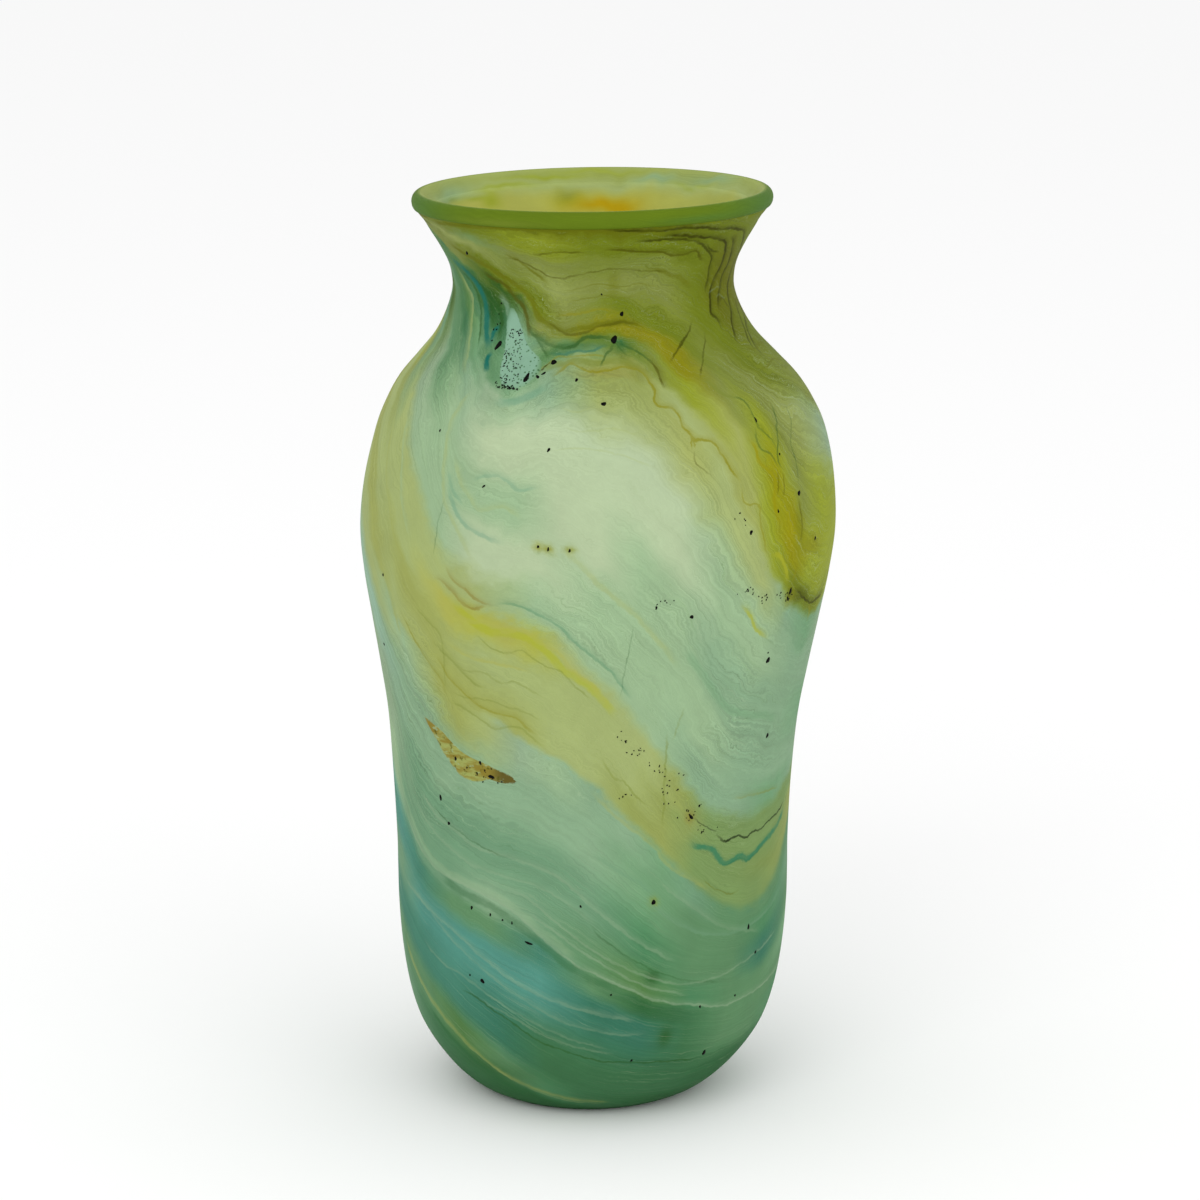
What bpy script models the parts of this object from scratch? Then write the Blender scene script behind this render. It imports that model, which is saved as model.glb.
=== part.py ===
"""A hand blown art glass vase, built up in layers the way hot glass is gathered.

The vase stands on the XY plane, its axis is Z and its front faces -Y. A pale inner
gather is cased in a marbled overlay. A plain lip wrap closes the rim, two shards of
other glass are let into the overlay, and a pontil seal sits in the kick-up below.
Azimuths are measured from the front, -Y, towards +X.
"""

import math

import bmesh
import bpy
from mathutils import Matrix, Vector

MM = 0.001

# Heights and radii that drive the outline
HEIGHT = 270 * MM
LIP_RADIUS = 52.3 * MM
NECK_HEIGHT = 241 * MM
NECK_RADIUS = 41.0 * MM
SHOULDER_HEIGHT = 172 * MM
SHOULDER_RADIUS = 70.0 * MM
WAIST_HEIGHT = 78 * MM
WAIST_RADIUS = 58.4 * MM
FOOT_RADIUS = 31.0 * MM

# The wall, from outside to inside
OVERLAY_WALL = 2.0 * MM
GATHER_WALL = 1.7 * MM
GAP = 0.3 * MM
WALL_TOP = 265.0 * MM

# The base
REST_RING_INNER = 23.0 * MM
KICK_UP_RADIUS = 12.5 * MM
KICK_UP_HEIGHT = 3.2 * MM
OVERLAY_FLOOR = 6.4 * MM
GATHER_FLOOR = 9.4 * MM
FLOOR_FLAT_RADIUS = 24.0 * MM
HEEL_TOP = 12.0 * MM
PONTIL_RADIUS = 10.5 * MM
PONTIL_BOTTOM = 1.0 * MM

# The lip's section is a squared oval with a flat underside
LIP_BOTTOM = WALL_TOP + GAP
LIP_HALF_WIDTH = 3.25 * MM
LIP_HALF_HEIGHT = 2.75 * MM
LIP_SQUARENESS = 2.4

# The shards: azimuth and height of the middle, length and height, and tilt
AMBER_PLACE = (math.radians(-37), 112.5 * MM)
AMBER_SIZE = (36 * MM, 8.5 * MM)
AMBER_TILT = math.radians(-22)
TEAL_PLACE = (math.radians(-26), 225.5 * MM)
TEAL_SIZE = (12.5 * MM, 17 * MM)
TEAL_TILT = math.radians(24)
SHARD_DEPTH = 0.9 * MM
POCKET_DEPTH = SHARD_DEPTH + GAP
PRISM_REACH = 10 * MM

ROUND_STEPS = 36
PONTIL_STEPS = 24
SPAN_STEPS = 2
HEEL_STEPS = 4
KICK_UP_STEPS = 4
LIP_STEPS = 18
SHARD_STEPS = 24
MERGE_DISTANCE = 0.00001

# The outer wall from the foot to just past the wall's top, as (radius, height)
OUTLINE = (
    (FOOT_RADIUS, 0.0),
    (FOOT_RADIUS + 5.8 * MM, 3.0 * MM),
    (WAIST_RADIUS - 14.2 * MM, 10.0 * MM),
    (WAIST_RADIUS - 6.4 * MM, 22.0 * MM),
    (WAIST_RADIUS - 2.1 * MM, 38.0 * MM),
    (WAIST_RADIUS - 0.2 * MM, 58.0 * MM),
    (WAIST_RADIUS, WAIST_HEIGHT),
    (WAIST_RADIUS + 2.4 * MM, 115.0 * MM),
    (SHOULDER_RADIUS - 3.8 * MM, 145.0 * MM),
    (SHOULDER_RADIUS, SHOULDER_HEIGHT),
    (SHOULDER_RADIUS - 4.1 * MM, 200.0 * MM),
    (SHOULDER_RADIUS - 11.6 * MM, 215.0 * MM),
    (NECK_RADIUS + 5.9 * MM, 228.0 * MM),
    (NECK_RADIUS, NECK_HEIGHT),
    (NECK_RADIUS + 1.0 * MM, 250.0 * MM),
    (NECK_RADIUS + 6.5 * MM, 260.0 * MM),
    (NECK_RADIUS + 10.7 * MM, 268.0 * MM),
)


def clear_scene():
    for old in list(bpy.data.objects):
        bpy.data.objects.remove(old, do_unlink=True)


def new_collection(name):
    collection = bpy.data.collections.new(name)
    bpy.context.scene.collection.children.link(collection)
    return collection


def glass(name, colour, opacity, roughness):
    """A glass material; the opaque share of the light is scattered, the rest goes through."""
    material = bpy.data.materials.new(name)
    material.use_nodes = True
    shader = material.node_tree.nodes["Principled BSDF"]
    shader.inputs["Base Color"].default_value = (*colour, 1.0)
    shader.inputs["Roughness"].default_value = roughness
    shader.inputs["Metallic"].default_value = 0.0
    shader.inputs["IOR"].default_value = 1.5
    shader.inputs["Transmission Weight"].default_value = 1.0 - opacity
    material.diffuse_color = (*colour, opacity)
    return material


# Curves in the plane of (radius, height)


def spline_point(before, start, end, after, share):
    """A point on the centripetal Catmull-Rom span that runs from start to end."""
    first = math.sqrt((start - before).length)
    middle = math.sqrt((end - start).length)
    last = math.sqrt((after - end).length)
    at = share * middle
    entering = before.lerp(start, (first + at) / first)
    crossing = start.lerp(end, share)
    leaving = end.lerp(after, (at - middle) / last)
    near = entering.lerp(crossing, (first + at) / (first + middle))
    far = crossing.lerp(leaving, at / (middle + last))
    return near.lerp(far, share)


def spline(points, steps):
    """A smooth curve through the points, with this many steps from each to the next."""
    points = [Vector(point) for point in points]
    ends = [2 * points[0] - points[1], *points, 2 * points[-1] - points[-2]]
    curve = []
    for i in range(len(points) - 1):
        span = ends[i : i + 4]
        curve += [spline_point(*span, step / steps) for step in range(steps)]
    return [*curve, points[-1]]


def bezier(start, corner, end, steps):
    """A rounded corner that leaves start towards corner and reaches end from it."""
    shares = [step / steps for step in range(steps + 1)]
    return [start.lerp(corner, t).lerp(corner.lerp(end, t), t) for t in shares]


def offset_curve(curve, depth):
    """The curve moved inwards by this depth, square to itself."""
    moved = []
    for i, point in enumerate(curve):
        along = (curve[min(i + 1, len(curve) - 1)] - curve[max(i - 1, 0)]).normalized()
        moved.append(point + depth * Vector((-along.y, along.x)))
    return moved


def cut_level(curve, height):
    """A rising curve, ended at this height."""
    below = [point for point in curve if point.y < height]
    one, other = curve[len(below) - 1], curve[len(below)]
    return [*below, one.lerp(other, (height - one.y) / (other.y - one.y))]


OUTER_CURVE = spline(OUTLINE, SPAN_STEPS)


def wall_outside(depth):
    """The wall at this depth from the resting plane up to the wall's top."""
    return cut_level(offset_curve(OUTER_CURVE, depth), WALL_TOP)


def bowl(depth, floor):
    """A rounded bowl from the axis: floor, heel and wall at this depth."""
    above_heel = [point for point in OUTER_CURVE if point.y > HEEL_TOP]
    skipped = len(OUTER_CURVE) - len(above_heel)
    wall = cut_level(offset_curve(OUTER_CURVE, depth)[skipped:], WALL_TOP)
    slope = (wall[1].x - wall[0].x) / (wall[1].y - wall[0].y)
    corner = Vector((wall[0].x - slope * (wall[0].y - floor), floor))
    heel = bezier(Vector((FLOOR_FLAT_RADIUS, floor)), corner, wall[0], HEEL_STEPS)
    return [Vector((0.0, floor)), *heel, *wall[1:]]


def kick_up():
    """The underside from the resting ring's inner edge to the axis."""
    curve = []
    for step in range(KICK_UP_STEPS + 1):
        share = step / KICK_UP_STEPS
        radius = REST_RING_INNER + share * (KICK_UP_RADIUS - REST_RING_INNER)
        rise = KICK_UP_HEIGHT * (1 - math.cos(math.pi * share)) / 2
        curve.append(Vector((radius, rise)))
    return [*curve, Vector((0.0, KICK_UP_HEIGHT))]


def outer_frame(azimuth, height):
    """The place on the outer wall there, with axes round it, up it and out of it."""
    rings = zip(OUTER_CURVE, OUTER_CURVE[1:])
    low, high = next((a, b) for a, b in rings if b.y > height)
    radius = low.lerp(high, (height - low.y) / (high.y - low.y)).x
    rise = (high - low).normalized()
    outward = Vector((math.sin(azimuth), -math.cos(azimuth), 0.0))
    around = Vector((math.cos(azimuth), math.sin(azimuth), 0.0))
    up = rise.x * outward + rise.y * Vector((0.0, 0.0, 1.0))
    place = radius * outward + Vector((0.0, 0.0, height))
    turn = Matrix((around, up, around.cross(up))).transposed().to_4x4()
    return Matrix.Translation(place) @ turn


# Solids


def add_mesh(name, collection, material=None):
    mesh = bpy.data.meshes.new(name)
    if material:
        mesh.materials.append(material)
    solid = bpy.data.objects.new(name, mesh)
    collection.objects.link(solid)
    return solid


def turned(name, profile, steps, collection, material=None, closed=False):
    """A solid turned round Z from a profile; a closed profile makes a ring."""
    solid = add_mesh(name, collection, material)
    count = len(profile)
    edges = [(i, i + 1) for i in range(count - 1)]
    if closed:
        edges.append((count - 1, 0))
    solid.data.from_pydata([(p.x, 0.0, p.y) for p in profile], edges, [])
    screw = solid.modifiers.new("Turn", "SCREW")
    screw.axis = "Z"
    screw.steps = steps
    screw.render_steps = steps
    screw.use_merge_vertices = True
    screw.merge_threshold = MERGE_DISTANCE
    screw.use_smooth_shade = True
    return solid


def cut(solid, other, operation):
    step = solid.modifiers.new(f"{operation.title()} {other.name}", "BOOLEAN")
    step.operation = operation
    step.solver = "EXACT"
    step.object = other


def as_cutter(solid):
    solid.hide_render = True
    solid.display_type = "WIRE"
    return solid


def shard_prism(name, place, size, tilt, margin, collection):
    """A prism with a melted shard's uneven oval outline, standing out of the wall."""
    prism = as_cutter(add_mesh(name, collection))
    shape = bmesh.new()
    bmesh.ops.create_cone(
        shape,
        cap_ends=True,
        segments=SHARD_STEPS,
        radius1=1.0,
        radius2=1.0,
        depth=PRISM_REACH,
    )
    for vertex in shape.verts:
        angle = math.atan2(vertex.co.y, vertex.co.x)
        bulge = 1 + 0.08 * math.cos(2 * angle + 0.9) + 0.06 * math.cos(3 * angle)
        vertex.co.x *= bulge * size[0] / 2 + margin
        vertex.co.y *= bulge * size[1] / 2 + margin
    shape.to_mesh(prism.data)
    shape.free()
    prism.matrix_world = outer_frame(*place) @ Matrix.Rotation(tilt, 4, "Z")
    return prism


def sleeve_profile(shallow, deep, middle, reach):
    """A stretch of the wall between two depths, within reach of the middle height."""
    inside = offset_curve(OUTER_CURVE, deep)
    outside = offset_curve(OUTER_CURVE, shallow)
    kept = [i for i, p in enumerate(OUTER_CURVE) if abs(p.y - middle) < reach]
    return [inside[i] for i in kept] + [outside[i] for i in reversed(kept)]


def build_shard(name, place, size, tilt, overlay, material, parts, cutters):
    """A shard flush with the overlay's surface, in a pocket cut for it."""
    reach = max(size) + 20 * MM
    flush = sleeve_profile(0.0, SHARD_DEPTH, place[1], reach)
    shard = turned(name, flush, ROUND_STEPS, parts, material, closed=True)
    prism = shard_prism(f"{name}_prism", place, size, tilt, 0.0, cutters)
    cut(shard, prism, "INTERSECT")

    proud = sleeve_profile(-1 * MM, POCKET_DEPTH, place[1], reach)
    pocket = turned(f"{name}_pocket", proud, ROUND_STEPS, cutters, closed=True)
    wide_prism = shard_prism(f"{name}_wide_prism", place, size, tilt, GAP, cutters)
    cut(as_cutter(pocket), wide_prism, "INTERSECT")
    cut(overlay, pocket, "DIFFERENCE")
    return shard


def build_inner_gather(parts, material):
    """The first bubble of pale glass: the inside wall and floor."""
    inside = bowl(OVERLAY_WALL + GAP + GATHER_WALL, GATHER_FLOOR)
    outside = bowl(OVERLAY_WALL + GAP, OVERLAY_FLOOR + GAP)
    return turned("inner_gather", inside + outside[::-1], ROUND_STEPS, parts, material)


def build_marbled_overlay(parts, material):
    """The coloured casing, with the thick base that the vase stands on."""
    inside = bowl(OVERLAY_WALL, OVERLAY_FLOOR)
    profile = inside + wall_outside(0.0)[::-1] + kick_up()
    return turned("marbled_overlay", profile, ROUND_STEPS, parts, material)


def build_lip_wrap(parts, material):
    """The rounded ring of plain glass on top of the wall."""
    middle = Vector((LIP_RADIUS - LIP_HALF_WIDTH, HEIGHT - LIP_HALF_HEIGHT))
    drop = (middle.y - LIP_BOTTOM) / LIP_HALF_HEIGHT
    power = 2 / LIP_SQUARENESS
    start = -math.asin(drop ** (1 / power))
    profile = []
    for step in range(LIP_STEPS + 1):
        angle = start + (math.pi - 2 * start) * step / LIP_STEPS
        across = math.copysign(abs(math.cos(angle)) ** power, math.cos(angle))
        rise = math.copysign(abs(math.sin(angle)) ** power, math.sin(angle))
        profile.append(middle + Vector((LIP_HALF_WIDTH * across, LIP_HALF_HEIGHT * rise)))
    return turned("lip_wrap", profile[::-1], ROUND_STEPS, parts, material, closed=True)


def build_pontil_seal(parts, material):
    """The low dome of glass in the kick-up, where the punty iron was knocked off."""
    top = KICK_UP_HEIGHT - GAP
    profile = [
        Vector((0.0, top)),
        Vector((PONTIL_RADIUS - 0.8 * MM, top)),
        Vector((PONTIL_RADIUS, top - 0.6 * MM)),
        Vector((PONTIL_RADIUS - 1.2 * MM, PONTIL_BOTTOM + 0.3 * MM)),
        Vector((0.5 * PONTIL_RADIUS, PONTIL_BOTTOM)),
        Vector((0.0, PONTIL_BOTTOM)),
    ]
    return turned("pontil_seal", profile, PONTIL_STEPS, parts, material)


def build():
    clear_scene()
    parts = new_collection("hand_blown_glass_vase")
    cutters = new_collection("cutters")
    cutters.hide_render = True

    marbled = glass("marbled_glass", (0.36, 0.46, 0.30), 0.85, 0.45)
    opaline = glass("opaline_glass", (0.62, 0.66, 0.44), 0.80, 0.40)
    olive = glass("olive_glass", (0.15, 0.21, 0.04), 0.85, 0.40)
    clear = glass("clear_green_glass", (0.20, 0.34, 0.22), 0.60, 0.35)
    amber = glass("amber_glass", (0.33, 0.20, 0.05), 0.90, 0.50)
    teal = glass("turquoise_glass", (0.30, 0.50, 0.42), 0.90, 0.50)

    build_inner_gather(parts, opaline)
    overlay = build_marbled_overlay(parts, marbled)
    build_lip_wrap(parts, olive)
    build_pontil_seal(parts, clear)
    amber_shape = (AMBER_PLACE, AMBER_SIZE, AMBER_TILT)
    build_shard("amber_shard", *amber_shape, overlay, amber, parts, cutters)
    teal_shape = (TEAL_PLACE, TEAL_SIZE, TEAL_TILT)
    build_shard("teal_shard", *teal_shape, overlay, teal, parts, cutters)


build()
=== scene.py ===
import math

import bmesh
import bpy
import numpy as np
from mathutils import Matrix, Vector


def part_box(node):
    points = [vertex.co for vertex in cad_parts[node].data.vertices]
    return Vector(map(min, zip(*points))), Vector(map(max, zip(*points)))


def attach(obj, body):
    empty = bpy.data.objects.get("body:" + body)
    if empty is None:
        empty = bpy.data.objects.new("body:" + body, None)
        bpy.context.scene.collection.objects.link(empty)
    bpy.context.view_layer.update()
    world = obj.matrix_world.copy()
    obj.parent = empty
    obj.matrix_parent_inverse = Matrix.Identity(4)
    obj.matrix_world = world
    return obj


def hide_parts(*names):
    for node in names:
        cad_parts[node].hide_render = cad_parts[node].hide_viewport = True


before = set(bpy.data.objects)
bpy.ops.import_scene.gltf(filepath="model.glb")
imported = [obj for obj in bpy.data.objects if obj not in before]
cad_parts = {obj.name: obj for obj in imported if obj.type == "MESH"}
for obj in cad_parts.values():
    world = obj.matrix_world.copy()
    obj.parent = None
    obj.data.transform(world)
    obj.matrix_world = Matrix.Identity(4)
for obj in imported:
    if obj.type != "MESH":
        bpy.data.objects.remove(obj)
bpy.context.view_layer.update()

# A hand blown vase of cased satin glass. Azimuths are in degrees from the front, -Y,
# towards +X, and heights in millimetres from the table. Lengths in meshes are metres.
MM = 0.001
WALL_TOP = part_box("marbled_overlay")[1].z

# ---------------------------------------------------------------- colours of the glass

# Display values, 0 to 255, as the glasses look in daylight
GLASS = {
    "bottle": (52, 104, 60),
    "fern": (66, 116, 76),
    "sea": (72, 130, 108),
    "lagoon": (84, 146, 130),
    "lake": (96, 150, 124),
    "sage": (112, 153, 118),
    "reed": (96, 140, 98),
    "mist": (136, 169, 134),
    "celadon": (154, 183, 142),
    "pearl": (178, 196, 157),
    "milk": (186, 202, 166),
    "straw": (163, 177, 113),
    "hay": (158, 167, 92),
    "lemon": (172, 177, 76),
    "pollen": (164, 168, 42),
    "moss": (124, 137, 56),
    "olive": (112, 126, 28),
    "bronze": (104, 110, 14),
    "khaki": (130, 141, 68),
    "amber": (148, 144, 12),
    "honey": (136, 135, 22),
    "ivy": (86, 128, 72),
    "jade": (116, 160, 118),
    "umber": (80, 80, 6),
    "soot": (26, 34, 14),
    "pine": (44, 88, 36),
    "teal": (50, 124, 90),
    "foam": (150, 184, 158),
    "shallows": (136, 176, 150),
    "cream": (146, 172, 138),
    "ochre": (138, 124, 48),
    "bark": (98, 88, 38),
    "jet": (8, 8, 6),
    "rind": (97, 120, 24),
    "meadow": (148, 160, 88),
    "butter": (171, 174, 86),
    # painted glow: the bright orange of light coming through the wall inside the mouth
    "painted_glow_orange": (178, 148, 10),
    "lime": (146, 158, 44),
    "deep": (60, 118, 94),
    "leaf": (122, 150, 90),
    "grass": (100, 128, 50),
    "fir": (68, 100, 30),
    "kelp": (80, 134, 92),
    "peat": (60, 62, 4),
    "petrol": (26, 108, 94),
    "sulphur": (168, 176, 48),
}
# Base colours are this much darker, so that they look right in the studio's light
EXPOSURE = 0.84
# Values up to this are on the straight foot of the display curve
DISPLAY_FOOT = 0.04045

# Bands of glass from the foot to the lip. Each runs round the vase through these
# points: azimuth, height and the glass there. The colours carry painted shade as well
# as the glass: the glasses towards ±80° are darker where the sides turn from the front
# light, and the dark bottle green at the foot is partly thick glass, partly painted shade.
BANDS = (
    ((-80, 0, "bottle"), (80, 0, "bottle")),
    ((-80, 38, "sage"), (-60, 22, "fern"), (-40, 10, "bottle"), (-10, 1.5, "bottle"), (80, 0.5, "bottle")),
    (
        (-85, 56, "sage"), (-75, 47, "reed"), (-60, 37, "reed"), (-45, 27, "ivy"), (-30, 17, "reed"),
        (-15, 9, "kelp"), (0, 5, "fern"), (30, 2.5, "bottle"), (80, 1.5, "fern"),
    ),
    (
        (-80, 63, "sea"), (-60, 49, "sea"), (-45, 40, "sea"), (-30, 31, "deep"), (-15, 22, "fern"),
        (0, 15, "fern"), (30, 11, "fern"), (60, 12, "bottle"), (80, 14, "fern"),
    ),
    (
        (-75, 71, "sage"), (-60, 64, "lagoon"), (-45, 59, "lagoon"), (-30, 54, "lagoon"),
        (-15, 48, "lagoon"), (0, 40, "deep"), (15, 33, "deep"), (30, 29, "fern"), (45, 27, "reed"),
        (60, 28, "reed"), (80, 33, "kelp"),
    ),
    (
        (-75, 84, "lagoon"), (-60, 73, "sea"), (-45, 68, "reed"), (-30, 63, "reed"), (-15, 56, "sea"),
        (0, 47, "reed"), (15, 40, "bottle"), (30, 35, "fern"), (45, 33, "reed"), (60, 35, "reed"),
        (80, 42, "reed"),
    ),
    (
        (-75, 101, "celadon"), (-68, 92, "sage"), (-60, 81, "sage"), (-45, 73, "sage"), (-30, 69, "mist"),
        (-15, 63.5, "sage"), (0, 54, "reed"), (15, 44.5, "ivy"), (30, 40, "kelp"), (45, 38.5, "reed"),
        (60, 40, "reed"), (80, 50, "jade"),
    ),
    (
        (-75, 125, "cream"), (-60, 97, "sage"), (-45, 90, "sage"), (-30, 84, "sage"), (-15, 81, "sage"),
        (0, 71, "sage"), (15, 57, "kelp"), (30, 50, "reed"), (45, 48, "reed"), (60, 50, "deep"),
        (80, 59, "reed"),
    ),
    (
        (-75, 152, "foam"), (-60, 126, "mist"), (-45, 112, "mist"), (-30, 104, "mist"), (-15, 100, "mist"),
        (0, 90, "mist"), (15, 76, "jade"), (30, 62, "reed"), (45, 57, "reed"), (60, 59, "kelp"),
        (80, 72, "sage"),
    ),
    (
        (-80, 186, "straw"), (-68, 164, "straw"), (-57, 147, "celadon"), (-45, 136, "hay"),
        (-38, 128, "hay"), (-30, 124, "straw"), (-20, 119, "cream"), (-10, 113, "celadon"),
        (0, 104, "mist"), (10, 94, "mist"), (20, 83, "jade"), (30, 73, "sage"), (40, 65, "reed"),
        (52, 62, "reed"), (67, 67, "reed"), (80, 80, "reed"),
    ),
    (
        (-80, 196, "hay"), (-65, 172, "hay"), (-57, 155, "straw"), (-45, 141, "hay"), (-38, 133, "hay"),
        (-30, 129, "hay"), (-20, 124, "hay"), (-10, 118, "straw"), (0, 110, "straw"), (10, 100, "meadow"),
        (20, 89, "meadow"), (30, 79, "leaf"), (37, 72, "leaf"), (45, 68, "leaf"), (55, 67, "leaf"),
        (80, 86, "meadow"),
    ),
    (
        (-80, 212, "straw"), (-65, 188, "straw"), (-52, 166, "hay"), (-45, 152, "hay"),
        (-30, 144, "straw"), (-15, 137, "straw"), (0, 124, "straw"), (10, 112, "straw"),
        (20, 99, "meadow"), (30, 88, "leaf"), (45, 79, "leaf"), (60, 79, "leaf"), (80, 90, "meadow"),
    ),
    (
        (-80, 222, "meadow"), (-65, 196, "straw"), (-50, 172, "straw"), (-40, 159, "butter"),
        (-30, 154.5, "lemon"), (-22, 154, "butter"), (-15, 151.5, "lemon"), (-7, 145, "straw"),
        (0, 136, "straw"), (8, 124, "straw"), (15, 114, "straw"), (25, 102, "meadow"), (35, 92, "leaf"),
        (45, 88, "leaf"), (60, 90, "leaf"), (80, 97, "leaf"),
    ),
    (
        (-80, 231, "sage"), (-65, 210, "straw"), (-50, 185, "straw"), (-40, 169, "straw"),
        (-30, 163, "straw"), (-15, 160, "celadon"), (0, 148, "celadon"), (15, 126, "celadon"),
        (30, 107, "mist"), (45, 97, "mist"), (60, 97, "jade"), (80, 103, "mist"),
    ),
    (
        (-80, 240, "fir"), (-65, 222, "cream"), (-50, 200, "celadon"), (-40, 184, "celadon"),
        (-30, 176, "pearl"), (-15, 174, "pearl"), (0, 164, "celadon"), (10, 152, "celadon"),
        (20, 138, "celadon"), (30, 122, "celadon"), (45, 109, "mist"), (60, 106, "mist"),
        (80, 108, "mist"),
    ),
    (
        (-80, 247, "sage"), (-60, 229, "reed"), (-45, 212, "celadon"), (-38, 198, "celadon"),
        (-30, 191, "celadon"), (-20, 188, "celadon"), (-10, 186, "pearl"), (0, 176, "pearl"),
        (10, 166, "celadon"), (20, 154, "celadon"), (30, 138, "mist"), (45, 126, "mist"),
        (60, 120, "mist"), (80, 118, "jade"),
    ),
    (
        (-80, 252, "reed"), (-60, 236, "fern"), (-45, 221, "mist"), (-30, 206, "pearl"),
        (-15, 207, "pearl"), (0, 201, "pearl"), (10, 195, "pearl"), (20, 182, "pearl"),
        (30, 164, "celadon"), (45, 146, "celadon"), (60, 135, "mist"), (80, 134, "mist"),
    ),
    (
        (-80, 255, "ivy"), (-60, 241, "ivy"), (-45, 227, "jade"), (-36, 219, "cream"),
        (-25, 215, "celadon"), (-15, 223, "mist"), (0, 226, "meadow"), (8, 225, "meadow"),
        (15, 217, "meadow"), (22, 208, "hay"), (30, 196, "straw"), (36, 181, "straw"), (43, 166, "straw"),
        (52, 155, "mist"), (66, 147, "jade"), (80, 150, "cream"),
    ),
    (
        (-80, 257, "ivy"), (-60, 245, "fern"), (-45, 233, "reed"), (-36, 225, "reed"), (-25, 221, "jade"),
        (-15, 228.5, "ivy"), (0, 230.5, "leaf"), (9, 229, "moss"), (16, 222, "meadow"), (24, 212, "straw"),
        (33, 200, "hay"), (40, 185, "hay"), (46, 171, "lime"), (54, 160, "olive"), (66, 152, "olive"),
        (80, 156, "lime"),
    ),
    (
        (-80, 259, "ivy"), (-60, 250, "ivy"), (-45, 240, "pine"), (-34, 234, "fern"), (-24, 229, "sage"),
        (-15, 231.5, "leaf"), (0, 233, "grass"), (10, 232, "grass"), (20, 227, "moss"), (29, 218, "lime"),
        (38, 206, "hay"), (45, 190, "lime"), (52, 176, "amber"), (60, 166, "lime"), (80, 166, "lime"),
    ),
    (
        (-80, 260.5, "khaki"), (-60, 254, "khaki"), (-45, 248, "fir"), (-30, 242, "fir"),
        (-22, 236, "khaki"), (-15, 234.5, "moss"), (0, 237, "honey"), (10, 236.5, "honey"),
        (20, 233, "honey"), (30, 226, "honey"), (40, 218, "khaki"), (48, 206, "lime"), (56, 190, "khaki"),
        (66, 180, "lime"), (80, 178, "lime"),
    ),
    (
        (-80, 262, "khaki"), (-60, 257.5, "khaki"), (-45, 252, "olive"), (-30, 246, "olive"),
        (-22, 240.5, "olive"), (-12, 239, "khaki"), (0, 241.5, "moss"), (10, 241, "olive"),
        (20, 238.5, "olive"), (30, 235, "olive"), (42, 227, "moss"), (52, 217, "khaki"),
        (62, 208, "meadow"), (80, 200, "cream"),
    ),
    (
        (-80, 263, "khaki"), (-60, 260, "meadow"), (-45, 256, "meadow"), (-30, 251, "moss"),
        (-15, 246, "meadow"), (0, 247, "khaki"), (15, 247, "khaki"), (30, 244.5, "khaki"),
        (45, 238, "olive"), (58, 228, "olive"), (80, 216, "moss"),
    ),
    (
        (-80, 264, "olive"), (-60, 262, "khaki"), (-45, 259.5, "leaf"), (-30, 256, "khaki"),
        (-15, 252.5, "khaki"), (0, 253, "moss"), (15, 253.5, "moss"), (30, 252.5, "moss"),
        (45, 248, "olive"), (58, 239, "bronze"), (80, 228, "olive"),
    ),
    (
        (-80, 265, "olive"), (-60, 263.5, "moss"), (-45, 262.5, "olive"), (-15, 259.5, "lime"),
        (0, 259, "olive"), (30, 258.5, "olive"), (45, 256, "olive"), (60, 250, "bronze"),
        (80, 243, "bronze"),
    ),
    ((-80, 267, "olive"), (0, 266, "bronze"), (45, 264.5, "olive"), (60, 262, "olive"), (80, 258, "olive")),
    ((-80, 272, "olive"), (80, 272, "olive")),
)


def smoothstep(low, high, value):
    share = np.clip((value - low) / (high - low), 0.0, 1.0)
    return share * share * (3.0 - 2.0 * share)


def linear(display):
    """The base colour that looks like this display value in the studio's light."""
    share = np.asarray(display, float) / 255.0
    return EXPOSURE * np.where(share <= DISPLAY_FOOT, share / 12.92, ((share + 0.055) / 1.055) ** 2.4)


def round_curve(azimuths, values, at):
    """A smooth closed curve round the vase through (azimuth, value), read at these azimuths."""
    azimuths = np.asarray(azimuths, float)
    values = np.asarray(values, float)
    xs = np.concatenate([azimuths[-2:] - 360, azimuths, azimuths[:2] + 360])
    ys = np.concatenate([values[-2:], values, values[:2]])
    slopes = np.gradient(ys, xs, axis=0)
    at = (at - azimuths[0]) % 360 + azimuths[0]
    i = np.clip(np.searchsorted(xs, at, side="right") - 1, 1, len(xs) - 3)
    width = xs[i + 1] - xs[i]
    t = (at - xs[i]) / width
    if ys.ndim > 1:
        t = t[:, None]
        width = width[:, None]
    start = (1 + 2 * t) * (1 - t) ** 2 * ys[i] + t * (1 - t) ** 2 * width * slopes[i]
    return start + t * t * (3 - 2 * t) * ys[i + 1] + t * t * (t - 1) * width * slopes[i + 1]


def band_colours(band, at):
    """The band's colours at these azimuths, blended straight from point to point."""
    azimuths = [point[0] for point in band]
    colours = np.array([GLASS[point[2]] for point in band], float)
    azimuths = [azimuths[-1] - 360, *azimuths, azimuths[0] + 360]
    colours = np.concatenate([colours[-1:], colours, colours[:1]])
    return np.stack([np.interp(at, azimuths, colours[:, c]) for c in range(3)], axis=-1)


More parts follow.
